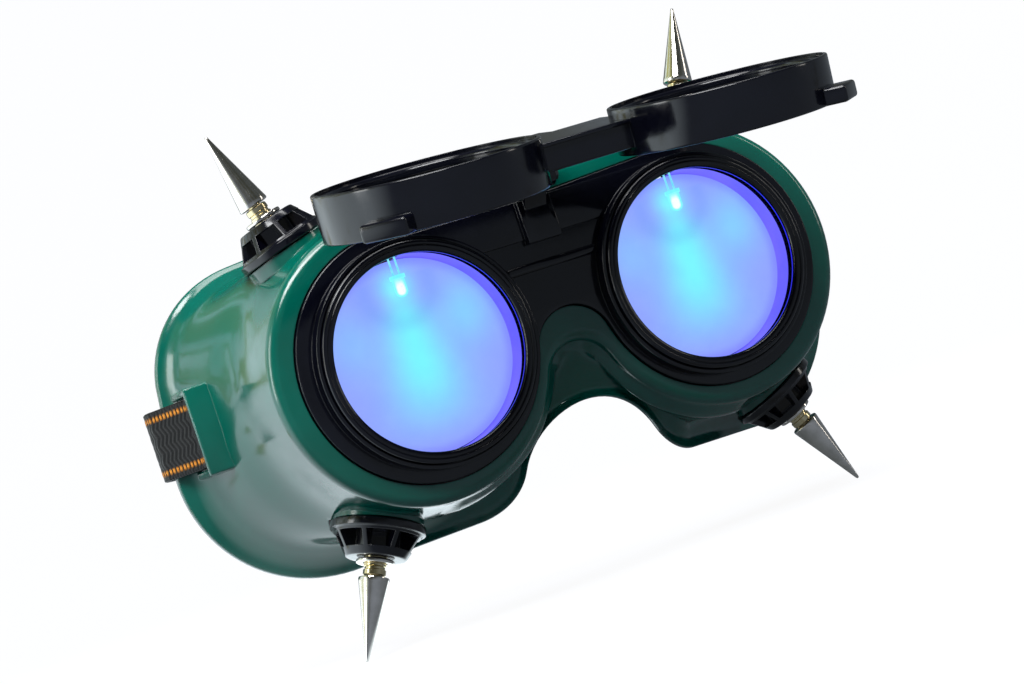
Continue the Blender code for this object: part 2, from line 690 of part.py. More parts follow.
def front_plate():
    loops = [
        section(PLATE, 0.0, flat=PLATE_DEPTH),
        section(PLATE, 0.0, flat=SHELL_DEPTH + SHELL_WALL + GAP),
        section(inset(PLATE, -PLATE_FLANGE), 0.0, flat=SHELL_DEPTH + SHELL_WALL + GAP),
        section(inset(PLATE, -PLATE_FLANGE), 0.0, flat=PLATE_REAR_DEPTH),
    ]
    plate = loft("front_plate", loops)
    inside = PLATE_DEPTH + 0.0012
    panel_x = PLATE_LOBE[0] - 0.003
    join(
        plate,
        block("panel", (-panel_x, panel_x), (PLATE_DEPTH - PANEL_STEP, inside),
              (PANEL_STEP_Z, PLATE_TOP_Z - GAP)),
        block("ridge", (-RIDGE_HALF, RIDGE_HALF), (PLATE_DEPTH - RIDGE_PROUD, inside),
              (RIDGE_Z, RIDGE_Z + RIDGE_HEIGHT)),
        block("block", (-BLOCK_HALF, BLOCK_HALF), (PLATE_DEPTH - BLOCK_PROUD, inside),
              (PANEL_STEP_Z - 0.0013, PLATE_TOP_Z - 2 * GAP)),
        hinge_ear(),
    )
    barrel = [(0.0, BARREL_DEPTH), (BARREL_OUTER_R - EDGE, BARREL_DEPTH),
              (BARREL_OUTER_R, BARREL_DEPTH + EDGE), (BARREL_OUTER_R, PLATE_DEPTH + OVERRUN),
              (TUBE_OUTER_R, PLATE_DEPTH + OVERRUN), (TUBE_OUTER_R, TUBE_END_DEPTH), (0.0, TUBE_END_DEPTH)]
    bore = [(0.0, -OVERRUN), (TUBE_INNER_R, -OVERRUN), (TUBE_INNER_R, TUBE_STEP_DEPTH),
            (TUBE_STEP_R, TUBE_STEP_DEPTH), (TUBE_STEP_R, TUBE_END_DEPTH + OVERRUN),
            (0.0, TUBE_END_DEPTH + OVERRUN)]
    groove_r = RING_OUTER_R + GAP
    groove = [(0.0, -OVERRUN), (groove_r, -OVERRUN), (groove_r, PLATE_DEPTH),
              (TUBE_OUTER_R, PLATE_DEPTH), (TUBE_OUTER_R, TUBE_FRONT_DEPTH), (0.0, TUBE_FRONT_DEPTH)]
    for x in (-EYE_X, EYE_X):
        join(plate, face_front(turned("barrel", barrel, RING_SEGMENTS, False), x))
        cut(
            plate,
            face_front(turned("groove", groove, RING_SEGMENTS, False), x),
            face_front(turned("bore", bore, RING_SEGMENTS, False), x),
            block("channel", (x - CHANNEL_HALF, x + CHANNEL_HALF), (PLATE_DEPTH + GAP, TUBE_END_DEPTH + OVERRUN),
                  (TUBE_STEP_R - 0.002, TUBE_OUTER_R + CHANNEL_TOP)),
        )
    cut(plate, x_rod("pin_hole", PIN_R + PIN_PLAY, -PIN_HOLE_REACH, PIN_HOLE_REACH))
    return finish(plate, "black_plastic")


def eye_ring(name, x):
    """Screwed ring: a lip over the lens, a fine line round it and a skirt in the barrel's groove."""
    line_r = LENS_R + RING_GROOVE
    profile = [
        (APERTURE_R, RING_LIP), (APERTURE_R, RING_CHAMFER), (APERTURE_R + ROUND, RING_GROOVE),
        (line_r - 2 * RING_GROOVE, 0.0), (line_r, EDGE), (line_r + 2 * RING_GROOVE, 0.0),
        (RING_OUTER_R - EDGE, 0.0), (RING_OUTER_R, ROUND), (RING_OUTER_R, RING_SKIRT),
        (LENS_R + GAP, RING_SKIRT), (LENS_R + GAP, RING_LIP),
    ]
    ring = face_front(turned(name, profile, RING_SEGMENTS, True), x)
    set_origin(ring, at(x, 0.0, 0.0))
    return finish(ring, "black_plastic")


def disc(name, x, radius, depth, thick, slot):
    """A flat round lens."""
    profile = [(0.0, depth), (radius, depth), (radius, depth + thick), (0.0, depth + thick)]
    return finish(face_front(turned(name, profile, RING_SEGMENTS, False), x), slot)


# ---- Flip-up frame -------------------------------------------------------------------------------
CUP_FRONT = -GAP - CUP_HEIGHT
SHADE_DEPTH = CUP_FRONT + FLIP_RING_DEPTH + FLIP_RING_THICK + GAP
LEDGE_DEPTH = SHADE_DEPTH + SHADE_THICK + GAP


def cup_inside(x):
    """The stepped hollow of one cup."""
    ledge_r = LENS_R - CUP_LEDGE_WIDTH
    seat_r = LENS_R + GAP
    skirt_r = CUP_R - CUP_SKIRT_WALL
    profile = [(0.0, CUP_FRONT - OVERRUN), (seat_r, CUP_FRONT - OVERRUN), (seat_r, LEDGE_DEPTH),
               (ledge_r, LEDGE_DEPTH), (ledge_r, LEDGE_DEPTH + CUP_LEDGE),
               (skirt_r, LEDGE_DEPTH + CUP_LEDGE), (skirt_r, OVERRUN), (0.0, OVERRUN)]
    return face_front(turned("inside", profile, RING_SEGMENTS, False), x)


def cup_solid(x):
    edge = ROUND
    profile = [(0.0, CUP_FRONT), (CUP_R - edge, CUP_FRONT), (CUP_R, CUP_FRONT + edge),
               (CUP_R - edge / 2, -GAP), (0.0, -GAP)]
    return face_front(turned("cup", profile, RING_SEGMENTS, False), x)


def lifting_tab(x):
    """A finger tab on the cup's rear edge, pointing down and outwards."""
    side = 1 if x > 0 else -1
    reach = CUP_R + TAB_REACH
    tab = block("tab", (CUP_R - TAB_ROOT, reach), (-GAP - TAB_THICK, -GAP), (-TAB_WIDTH / 2, TAB_WIDTH / 2))
    turn = radians(-45) if side > 0 else radians(-135)
    swing = Matrix.Rotation(-turn, 4, "Y")
    tab.data.transform(Matrix.Translation((x, 0.0, 0.0)) @ swing)
    return tab


def knuckle(side):
    """One hinge knuckle, from the round end at the axis to the bridge panel."""
    steps = 10
    outline = [(-BRIDGE_FRONT + BRIDGE_SKIN, HINGE_Z - KNUCKLE_R), (-BRIDGE_FRONT + BRIDGE_SKIN, HINGE_Z + KNUCKLE_R)]
    for i in range(steps + 1):
        angle = mix(pi / 2, -pi / 2, i / steps)
        outline.append((HINGE_DEPTH + KNUCKLE_R * cos(angle), HINGE_Z + KNUCKLE_R * sin(angle)))
    return prism("knuckle", outline, sorted((side * KNUCKLE_IN, side * KNUCKLE_OUT)))


def flip_frame():
    """Two cups and the hollow bridge between them, made closed."""
    frame = block("flip_frame", (-BRIDGE_HALF, BRIDGE_HALF), (-BRIDGE_FRONT, -BRIDGE_REAR),
                  (BRIDGE_LOW_Z, BRIDGE_HIGH_Z))
    hollow = BRIDGE_HALF - BRIDGE_WALL
    cut(frame, block("hollow", (-hollow, hollow), (-BRIDGE_FRONT + BRIDGE_WALL, 0.0),
                     (BRIDGE_LOW_Z + BRIDGE_WALL, BRIDGE_HIGH_Z - BRIDGE_WALL)))
    tongue = KNUCKLE_OUT + TONGUE_MARGIN
    lip = BRIDGE_HALF * 0.6
    join(
        frame,
        block("tongue", (-tongue, tongue), (-BRIDGE_FRONT, -BRIDGE_FRONT + BRIDGE_WALL),
              (BRIDGE_HIGH_Z - BRIDGE_WALL, HINGE_Z + KNUCKLE_R)),
        block("lip", (-lip, lip), (-BRIDGE_FRONT, -BRIDGE_FRONT + 2 * BRIDGE_SKIN),
              (BRIDGE_LOW_Z - BRIDGE_LIP, BRIDGE_LOW_Z + BRIDGE_SKIN)),
        knuckle(-1),
        knuckle(1),
    )
    for x in (-EYE_X, EYE_X):
        join(frame, cup_solid(x), lifting_tab(x))
    for x in (-EYE_X, EYE_X):
        cut(frame, cup_inside(x))
    cut(frame, x_rod("pin_hole", PIN_R + PIN_PLAY, -PIN_HOLE_REACH, PIN_HOLE_REACH))
    return finish(frame, "black_plastic")


def flip_ring(name, x):
    """Screwed ring that holds the shade lens in its cup."""
    front = CUP_FRONT + FLIP_RING_DEPTH
    rear = front + FLIP_RING_THICK
    profile = [(LENS_R - FLIP_RING_WALL, rear), (LENS_R - FLIP_RING_WALL, front + 2 * EDGE),
               (LENS_R - FLIP_RING_WALL + ROUND, front), (LENS_R - EDGE, front),
               (LENS_R, front + EDGE), (LENS_R, rear)]
    return finish(face_front(turned(name, profile, RING_SEGMENTS, True), x), "black_plastic")


def flip_assembly():
    """The cups, shade lenses and rings hang on an empty on the hinge axis, swung open."""
    hinge = bpy.data.objects.new("flip_hinge_axis", None)
    bpy.context.collection.objects.link(hinge)
    axis = at(0.0, HINGE_DEPTH, HINGE_Z)
    hinge.location = axis
    hinge.rotation_euler = (-OPEN_ANGLE, 0.0, 0.0)
    pieces = [flip_frame()]
    for name, x in (("L", -EYE_X), ("R", EYE_X)):
        pieces.append(disc("shade_lens_" + name, x, LENS_R, SHADE_DEPTH, SHADE_THICK, "shade_glass"))
        pieces.append(flip_ring("flip_ring_" + name, x))
    for piece in pieces:
        piece.data.transform(Matrix.Translation(-axis))
        piece.parent = hinge
    for piece, x in zip(pieces[2::2], (-EYE_X, EYE_X)):
        centre = at(x, CUP_FRONT, 0.0) - axis
        set_origin(piece, centre)


def hinge_pin():
    """Headed pin through the plate's ear and both knuckles."""
    end = KNUCKLE_OUT + PIN_PROUD
    profile = [(0.0, -end), (PIN_R, -end), (PIN_R, KNUCKLE_OUT + GAP), (PIN_HEAD_R, KNUCKLE_OUT + GAP),
               (PIN_HEAD_R, end + PIN_HEAD), (0.0, end + PIN_HEAD)]
    pin = turned("hinge_pin", profile, TINY_SEGMENTS, False)
    pin.data.transform(along(at(0.0, HINGE_DEPTH, HINGE_Z), Vector((1, 0, 0))))
    return finish(pin, "pin_steel")


# ---- Vents and spikes ----------------------------------------------------------------------------
def wedge(name, low, high, z_low, z_high, rib):
    """Cutter between two ribs, widening outwards from one radius to another."""
    share = tan(pi / VENT_WINDOWS)
    spare = rib / 2 / cos(pi / VENT_WINDOWS)
    verts = [(r, side * (r * share - spare), z)
             for z in (z_low, z_high) for r, side in ((low, -1), (high, -1), (high, 1), (low, 1))]
    faces = [(0, 1, 2, 3), (4, 5, 6, 7), (0, 1, 5, 4), (1, 2, 6, 5), (2, 3, 7, 6), (3, 0, 4, 7)]
    return mesh_object(name, verts, faces)


def vent_cap(name, base, out):
    """A ribbed cone with windows round an inner tube, a rim on the shell and a snap-in neck."""
    end_plate = VENT_HEIGHT - VENT_WALL
    shoulder_r = VENT_RIM_R - VENT_STEP
    profile = [
        (NECK_R, -NECK_LENGTH), (NECK_R, 0.0), (VENT_RIM_R, 0.0), (VENT_RIM_R, VENT_RIM),
        (shoulder_r, VENT_RIM), (VENT_TOP_R, VENT_HEIGHT), (SCREW_SHANK_R + GAP, VENT_HEIGHT),
        (SCREW_SHANK_R + GAP, end_plate), (BAFFLE_IN_R, end_plate), (BAFFLE_IN_R, -NECK_LENGTH),
    ]
    cap = turned("vent_cap_" + name, profile, SMALL_SEGMENTS, True)
    foot = VENT_RIM + VENT_STEP
    for i in range(VENT_WINDOWS):
        turn = Matrix.Rotation(2 * pi * (i + 0.5) / VENT_WINDOWS, 4, "Z")
        window = wedge("window", BAFFLE_OUT_R, VENT_RIM_R * 2, foot, end_plate - VENT_STEP, VENT_RIB)
        window.data.transform(turn)
        cut(cap, window)
        if i % 2 == 0:
            slit = wedge("slit", BAFFLE_IN_R * 0.8, BAFFLE_OUT_R + GAP, foot, foot + BAFFLE_SLIT, VENT_RIB * 2)
            slit.data.transform(turn)
            cut(cap, slit)
    cap.data.transform(along(base, out))
    return finish(cap, "black_plastic")


COLLAR_BASE = VENT_HEIGHT + GAP
NECK_TOP = COLLAR_BASE + COLLAR_THICK + SPIKE_STANDOFF


def spike_screw(name, base, out):
    """Headed screw from inside the cap, through its end and the collar, into the spike."""
    head_top = VENT_HEIGHT - VENT_WALL - GAP
    profile = [
        (0.0, head_top - SCREW_HEAD), (SCREW_HEAD_R, head_top - SCREW_HEAD), (SCREW_HEAD_R, head_top),
        (SCREW_SHANK_R, head_top), (SCREW_SHANK_R, NECK_TOP), (SCREW_THREAD_R, NECK_TOP),
        (SCREW_THREAD_R, NECK_TOP + SCREW_THREAD), (0.0, NECK_TOP + SCREW_THREAD),
    ]
    screw = turned("spike_screw_" + name, profile, TINY_SEGMENTS, False)
    screw.data.transform(along(base, out))
    return finish(screw, "gold_screw")


def spike_collar(name, base, out):
    bore = SCREW_SHANK_R + GAP
    edge = EDGE
    profile = [(bore, COLLAR_BASE), (COLLAR_R, COLLAR_BASE), (COLLAR_R, COLLAR_BASE + COLLAR_THICK - edge),
               (COLLAR_R - edge, COLLAR_BASE + COLLAR_THICK), (bore, COLLAR_BASE + COLLAR_THICK)]
    collar = turned("spike_collar_" + name, profile, SMALL_SEGMENTS, True)
    collar.data.transform(along(base, out))
    return finish(collar, "nickel")


def spike(name, base, out):
    """A tall cone with a threaded hole in its base."""
    foot = NECK_TOP + GAP
    hole_r = SCREW_THREAD_R + GAP
    hole_top = foot + SCREW_THREAD + ROUND
    edge = EDGE
    profile = [(0.0, hole_top), (hole_r, hole_top), (hole_r, foot), (SPIKE_BASE_R - edge, foot),
               (SPIKE_BASE_R, foot + edge), (SPIKE_TIP_R, foot + SPIKE_LENGTH - edge),
               (0.0, foot + SPIKE_LENGTH)]
    cone = turned("spike_" + name, profile, SMALL_SEGMENTS, False)
    cone.data.transform(along(base, out))
    return finish(cone, "nickel")


# ---- Lamps and power -----------------------------------------------------------------------------
LED_DEPTH = TUBE_FRONT_DEPTH + LED_SETBACK
LEAD_Z = TUBE_OUTER_R - ROUND
LEAD_END_DEPTH = TUBE_END_DEPTH + LEAD_TAIL


def led(name, x):
    """A 3 mm LED that hangs into the chamber, with its two leads run out over the diffuser."""
    dome_steps = 4
    profile = [(0.0, LED_FLANGE_Z), (LED_FLANGE_R, LED_FLANGE_Z), (LED_FLANGE_R, LED_FLANGE_Z - LED_FLANGE_THICK),
               (LED_R, LED_FLANGE_Z - LED_FLANGE_THICK)]
    dome_z = LED_FLANGE_Z - LED_LENGTH + LED_R
    for i in range(dome_steps):
        angle = pi / 2 * i / dome_steps
        profile.append((LED_R * cos(angle), dome_z - LED_R * sin(angle)))
    profile.append((0.0, dome_z - LED_R))
    lamp = turned(name, profile, TINY_SEGMENTS, False)
    lamp.data.transform(Matrix.Translation(at(x, LED_DEPTH, 0.0)))
    for side in (-1, 1):
        lead_x = x + side * LEAD_HALF_PITCH
        span = (lead_x - LEAD / 2, lead_x + LEAD / 2)
        lead = block("lead", span, (LED_DEPTH - LEAD / 2, LED_DEPTH + LEAD / 2),
                     (LED_FLANGE_Z - ROUND, LEAD_Z + LEAD / 2))
        join(lead, block("run", span, (LED_DEPTH - LEAD / 2, LEAD_END_DEPTH),
                         (LEAD_Z - LEAD / 2, LEAD_Z + LEAD / 2)))
        join(lamp, lead)
    return finish(lamp, "led")


def smooth_route(points, steps):
    """Catmull-Rom curve through the route's points."""
    ends = [2 * points[0] - points[1], *points, 2 * points[-1] - points[-2]]
    route = []
    for p, q, r, s in zip(ends, ends[1:], ends[2:], ends[3:]):
        for i in range(steps):
            t = i / steps
            route.append(0.5 * (2 * q + (r - p) * t + (2 * p - 5 * q + 4 * r - s) * t * t
                                + (3 * q - p - 3 * r + s) * t * t * t))
    route.append(points[-1])
    return route


def led_wire(name, side):
    """The twin lead from one lamp, behind its tube, to the battery holder."""
    start_x = side * EYE_X
    end = at(side * (HOLDER_HALF + GAP), PLATE_REAR_DEPTH + 0.0033, HOLDER_LOW_Z + 0.0125)
    points = [
        at(start_x, LEAD_END_DEPTH + GAP, LEAD_Z),
        at(start_x - side * 0.0012, LEAD_END_DEPTH + 0.0016, LEAD_Z - 0.0003),
        at(start_x - side * 0.0070, LEAD_END_DEPTH + 0.0024, LEAD_Z - 0.0025),
        at(mix(start_x, end.x, 0.6), LEAD_END_DEPTH + 0.0018, mix(LEAD_Z, end.z, 0.6)),
        end + Vector((side * 0.0035, 0.0012, 0.0006)),
        end,
    ]
    route = smooth_route(points, 5)
    curve = bpy.data.curves.new(name, "CURVE")
    curve.dimensions = "3D"
    curve.bevel_depth = WIRE_R
    curve.bevel_resolution = 2
    curve.use_fill_caps = True
    spline = curve.splines.new("POLY")
    spline.points.add(len(route) - 1)
    for slot, point in zip(spline.points, route):
        slot.co = (*point, 1.0)
    obj = bpy.data.objects.new(name, curve)
    bpy.context.collection.objects.link(obj)
    paint(obj, "wire")
    return obj


HOLDER_DEPTH = PLATE_REAR_DEPTH + GAP
CELL_DEPTH = HOLDER_DEPTH + HOLDER_FLOOR + GAP
HOLDER_REAR_DEPTH = CELL_DEPTH + CELL_THICK + CELL_SINK
HOLDER_MID_Z = HOLDER_LOW_Z + HOLDER_HEIGHT / 2


def battery_holder():
    holder = block("battery_holder", (-HOLDER_HALF, HOLDER_HALF), (HOLDER_DEPTH, HOLDER_REAR_DEPTH),
                   (HOLDER_LOW_Z, HOLDER_LOW_Z + HOLDER_HEIGHT))
    pocket = [(0.0, CELL_DEPTH - GAP), (CELL_R + GAP, CELL_DEPTH - GAP), (CELL_R + GAP, HOLDER_REAR_DEPTH + OVERRUN),
              (0.0, HOLDER_REAR_DEPTH + OVERRUN)]
    cut(holder, face_front(turned("pocket", pocket, SMALL_SEGMENTS, False), 0.0, HOLDER_MID_Z))
    return finish(holder, "black_plastic")


def coin_cell():
    edge = EDGE
    profile = [(0.0, CELL_DEPTH), (CELL_R - CELL_STEP, CELL_DEPTH), (CELL_R - CELL_STEP, CELL_DEPTH + edge),
               (CELL_R, CELL_DEPTH + edge), (CELL_R, CELL_DEPTH + CELL_THICK - edge),
               (CELL_R - edge, CELL_DEPTH + CELL_THICK), (0.0, CELL_DEPTH + CELL_THICK)]
    cell = face_front(turned("coin_cell", profile, SMALL_SEGMENTS, False), 0.0, HOLDER_MID_Z)
    return finish(cell, "nickel")


def battery_clip():
    """Flat contact strip across the cell."""
    front = HOLDER_REAR_DEPTH + GAP
    clip = block("battery_clip", (-HOLDER_HALF, HOLDER_HALF), (front, front + CLIP_THICK),
                 (HOLDER_MID_Z - CLIP_HALF, HOLDER_MID_Z + CLIP_HALF))
    return finish(clip, "nickel")


SWITCH_TOP_Z = HOLDER_LOW_Z - GAP
KNOB_MID_Z = SWITCH_TOP_Z - SWITCH_HEIGHT / 2
SWITCH_REAR_DEPTH = HOLDER_DEPTH + SWITCH_THICK


def switch_body():
    body = block("switch_body", (-SWITCH_HALF, SWITCH_HALF), (HOLDER_DEPTH, SWITCH_REAR_DEPTH),
                 (SWITCH_TOP_Z - SWITCH_HEIGHT, SWITCH_TOP_Z))
    slot_x = KNOB_HALF + SWITCH_TRAVEL / 2 + GAP
    slot_z = KNOB_HEIGHT / 2 + GAP
    cut(body, block("slot", (-slot_x, slot_x), (SWITCH_REAR_DEPTH - SLOT_DEPTH, SWITCH_REAR_DEPTH + OVERRUN),
                    (KNOB_MID_Z - slot_z, KNOB_MID_Z + slot_z)))
    return finish(body, "black_plastic")


def switch_knob():
    """Slide knob, at the on end of its slot."""
    x = SWITCH_TRAVEL / 2
    knob = block("switch_knob", (x - KNOB_HALF, x + KNOB_HALF),
                 (SWITCH_REAR_DEPTH - SLOT_DEPTH + GAP, SWITCH_REAR_DEPTH + KNOB_PROUD),
                 (KNOB_MID_Z - KNOB_HEIGHT / 2, KNOB_MID_Z + KNOB_HEIGHT / 2))
    set_origin(knob, at(x, SWITCH_REAR_DEPTH, KNOB_MID_Z))
    return finish(knob, "black_plastic")


# ---- Strap and slider ----------------------------------------------------------------------------
STRAP_BACK_DEPTH = TEMPLE_DEPTH + STRAP_BOW


def strap_half():
    """Centre line of the strap's right half, from its sewn end round the bar to the back."""
    wrap_r = BAR_THICK / 2 + GAP + STRAP_THICK / 2
    wrap_depth = BAR_DEPTH + BAR_THICK / 2
    bar_end = BAR_DEPTH + BAR_LENGTH
    edge_depth = TEMPLE_DEPTH - FLANGE_EDGE
    slope = (STRAP_EDGE_X - OUTER_RUN_X) / (edge_depth - bar_end)
    layer = (STRAP_THICK + STRAP_PLAY) * sqrt(1 + slope * slope)
    sewn = [bar_end + SEWN_FAR, bar_end + SEWN_NEAR]
    path = [(OUTER_RUN_X + slope * (d - bar_end) - layer, d) for d in sewn]
    path.append((BAR_MID_X - wrap_r + STRAP_THICK, bar_end + 1.5 * STRAP_THICK))
    path.append((BAR_MID_X - wrap_r, bar_end - STRAP_PLAY))
    for i in range(9):
        angle = mix(pi, 2 * pi, i / 8)
        path.append((BAR_MID_X + wrap_r * cos(angle), wrap_depth + wrap_r * sin(angle)))
    path += [(OUTER_RUN_X, bar_end), (STRAP_EDGE_X, edge_depth), (STRAP_EDGE_X + GAP, TEMPLE_DEPTH)]
    start = Vector((STRAP_EDGE_X, TEMPLE_DEPTH + STRAP_CLEAR))
    stop = Vector((STRAP_STRAIGHT, STRAP_BACK_DEPTH))
    pull_a = start + Vector((-0.35, 1.0)) * STRAP_BOW * 0.45
    pull_b = stop + Vector((1.0, 0.0)) * (STRAP_EDGE_X - STRAP_STRAIGHT) * 0.55
    steps = 12
    for i in range(steps + 1):
        t = i / steps
        point = (start * (1 - t) ** 3 + pull_a * 3 * t * (1 - t) ** 2 + pull_b * 3 * t * t * (1 - t)
                 + stop * t ** 3)
        path.append((point.x, point.y))
    return path


def ribbon(name, path, thick, width):
    """A flat band that follows a path in the (x, depth) plane, standing upright in Z."""
    points = [Vector(p) for p in path]
    normals = []
    for i, point in enumerate(points):
        before = (point - points[max(i - 1, 0)]).normalized()
        after = (points[min(i + 1, len(points) - 1)] - point).normalized()
        along_path = (before + after).normalized()
        mitre = sqrt(max(0.5, (1 + before.dot(after)) / 2)) if before.length and after.length else 1.0
        normals.append(Vector((along_path.y, -along_path.x)) / mitre)
    verts = []
    for point, normal in zip(points, normals):
        for side, z in ((1, -1), (1, 1), (-1, 1), (-1, -1)):
            spot = point + normal * side * thick / 2
            verts.append(at(spot.x, spot.y, z * width / 2))
    last = 4 * (len(points) - 1)
    faces = [(0, 1, 2, 3), (last + 3, last + 2, last + 1, last)]
    for k in range(0, last, 4):
        for i in range(4):
            j = (i + 1) % 4
            faces.append((k + i, k + j, k + 4 + j, k + 4 + i))
    return mesh_object(name, verts, faces)


def strap():
    half = strap_half()
    path = half + [(-x, d) for x, d in reversed(half)]
    return finish(ribbon("strap", path, STRAP_THICK, STRAP_WIDTH), "webbing")


def strap_slider():
    """Ladder slider: end bars outside the strap, a centre bar inside it."""
    face = STRAP_THICK / 2 + GAP
    rail_low = STRAP_WIDTH / 2 + GAP
    rail_high = rail_low + SLIDER_RAIL
    deep = face + SLIDER_BAR
    x = SLIDER_REST_X
    ends = (x - SLIDER_HALF, x + SLIDER_HALF)
    depths = (STRAP_BACK_DEPTH - deep, STRAP_BACK_DEPTH + deep)
    height = (-rail_high, rail_high)
    outside = (STRAP_BACK_DEPTH + face, STRAP_BACK_DEPTH + deep)
    slider = block("strap_slider", ends, depths, (rail_low, rail_high))
    join(
        slider,
        block("end", (ends[0], ends[0] + SLIDER_END), outside, height),
        block("end", (ends[1] - SLIDER_END, ends[1]), outside, height),
        block("centre", (x - SLIDER_CENTRE, x + SLIDER_CENTRE), (depths[0], STRAP_BACK_DEPTH - face), height),
        block("rail", ends, depths, (-rail_high, -rail_low)),
    )
    set_origin(slider, at(x, STRAP_BACK_DEPTH, 0.0))
    return finish(slider, "black_plastic")


# ---- Assembly ------------------------------------------------------------------------------------
def build():
    clear_scene()
    face_shell()
    front_plate()
    for name, x in (("L", -EYE_X), ("R", EYE_X)):
        eye_ring("eye_ring_" + name, x)
        disc("clear_lens_" + name, x, LENS_R, CLEAR_LENS_DEPTH, CLEAR_LENS_THICK, "clear_lens")
        disc("diffuser_" + name, x, TUBE_INNER_R - GAP, DIFFUSER_DEPTH, DIFFUSER_THICK, "diffuser")
        led("led_" + name, x)
        led_wire("led_wire_" + name, 1 if x > 0 else -1)
    flip_assembly()
    hinge_pin()
    for name, base, out in vent_frames():
        vent_cap(name, base, out)
        spike_screw(name, base, out)
        spike_collar(name, base, out)
        spike(name, base, out)
    battery_holder()
    coin_cell()
    battery_clip()
    switch_body()
    switch_knob()
    strap()
    strap_slider()


build()
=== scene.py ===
"""Welding goggles with lit lenses: the looks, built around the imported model."""
from math import acos, atan2, cos, exp, pi, radians, sin, sqrt, tan

import bmesh
import bpy
import numpy as np
from mathutils import Matrix, Vector
from mathutils.geometry import tessellate_polygon


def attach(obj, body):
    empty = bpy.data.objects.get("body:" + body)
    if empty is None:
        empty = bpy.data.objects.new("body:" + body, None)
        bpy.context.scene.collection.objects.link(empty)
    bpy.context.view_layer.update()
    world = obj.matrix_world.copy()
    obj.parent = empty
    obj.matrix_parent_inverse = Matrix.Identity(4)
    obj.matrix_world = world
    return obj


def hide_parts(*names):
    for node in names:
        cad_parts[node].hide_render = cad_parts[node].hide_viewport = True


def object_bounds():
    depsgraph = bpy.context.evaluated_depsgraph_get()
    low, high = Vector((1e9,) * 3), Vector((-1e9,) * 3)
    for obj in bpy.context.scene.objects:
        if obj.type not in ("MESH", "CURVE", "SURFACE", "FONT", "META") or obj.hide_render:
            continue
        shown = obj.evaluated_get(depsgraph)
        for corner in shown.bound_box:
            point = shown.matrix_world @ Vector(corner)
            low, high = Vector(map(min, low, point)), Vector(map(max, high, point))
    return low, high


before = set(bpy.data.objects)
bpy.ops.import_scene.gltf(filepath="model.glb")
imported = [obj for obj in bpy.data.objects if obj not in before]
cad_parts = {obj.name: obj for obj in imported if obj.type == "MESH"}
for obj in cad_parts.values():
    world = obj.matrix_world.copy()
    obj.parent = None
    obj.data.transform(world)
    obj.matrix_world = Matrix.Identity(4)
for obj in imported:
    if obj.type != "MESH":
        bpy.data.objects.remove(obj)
CAD_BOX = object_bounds()

# ---- Driving sizes -------------------------------------------------------------------------------
LENS_R = 0.025              # standard 50 mm round welding lens
EYE_X = 0.03775             # half the spacing of the two lens centres
TEMPLE_DEPTH = 0.052        # depth of the face flange at the temples
GAP = 0.0003                # clearance between pieces that touch
WELD = 0.000002             # points closer than this are one point
ROUND = 0.0004              # chamfer
RING_SEGMENTS = 128
SMALL_SEGMENTS = 64
TINY_SEGMENTS = 32

# ---- Eye openings --------------------------------------------------------------------------------
APERTURE_R = LENS_R - 0.0015
RING_OUTER_R = LENS_R + 0.0013
RING_LIP = 0.0016
RING_SKIRT = 0.0046
BARREL_WALL = 0.0009
BARREL_DEPTH = 0.0012       # front edge of the barrel round the ring
BARREL_OUTER_R = RING_OUTER_R + GAP + BARREL_WALL
TUBE_OUTER_R = LENS_R
TUBE_INNER_R = LENS_R - 0.0012
TUBE_STEP_R = LENS_R - 0.0027
CLEAR_LENS_THICK = 0.002
CLEAR_LENS_DEPTH = RING_LIP + GAP
TUBE_FRONT_DEPTH = CLEAR_LENS_DEPTH + CLEAR_LENS_THICK + GAP
CHAMBER = 0.0053            # space for the LED between the clear lens and the diffuser
DIFFUSER_DEPTH = TUBE_FRONT_DEPTH + CHAMBER
DIFFUSER_THICK = 0.0015
TUBE_STEP_DEPTH = DIFFUSER_DEPTH + DIFFUSER_THICK + GAP
TUBE_END_DEPTH = TUBE_STEP_DEPTH + 0.0015

# ---- Front plate ---------------------------------------------------------------------------------
PLATE_DEPTH = 0.005
PLATE_THICK = 0.0048
PLATE_REAR_DEPTH = PLATE_DEPTH + PLATE_THICK
PLATE_FLANGE = 0.0016       # how far the rear flange reaches behind the shell's lip
PLATE_SHIFT = 0.00125       # outward shift of the plate's lobes from the lens axes
PLATE_R = BARREL_OUTER_R + 0.0026
PLATE_TOP_DROP = 0.0021
PLATE_NOTCH_Z = 0.0006
PANEL_STEP_Z = 0.0183
PANEL_STEP = 0.0006
RIDGE_Z = 0.0105
RIDGE_HEIGHT = 0.0021
RIDGE_PROUD = 0.0016
RIDGE_HALF = 0.012
BLOCK_HALF = 0.0045
BLOCK_PROUD = 0.0024

# ---- Face shell ----------------------------------------------------------------------------------
SHELL_DEPTH = 0.006
SHELL_WALL = 0.002
FACE_MARGIN = 0.005         # green margin round the plate
FACE_SHIFT = 0.0014         # outward shift of the face lobes from the plate's
FACE_R = PLATE_R + FACE_MARGIN
FACE_NOTCH_DROP = 0.0087
FACE_TOP_DROP = 0.0016
EDGE_ROUND = 0.0026
WALL_SWELL = 0.0024         # growth of the wall halfway back
WALL_END = 0.8              # share of the depth where the wall meets the flange
FLANGE_EDGE = 0.002
FLANGE_WIDTH = 0.005
NOSE_DEPTH = 0.013          # flange depth over the nose
BROW_DEPTH = 0.032          # flange depth over the brow
FACE_TURN = 0.025           # height over which the nose line gives way to the brow line
FACE_CURVE = 0.045          # half-width over which the flange falls back to the temples

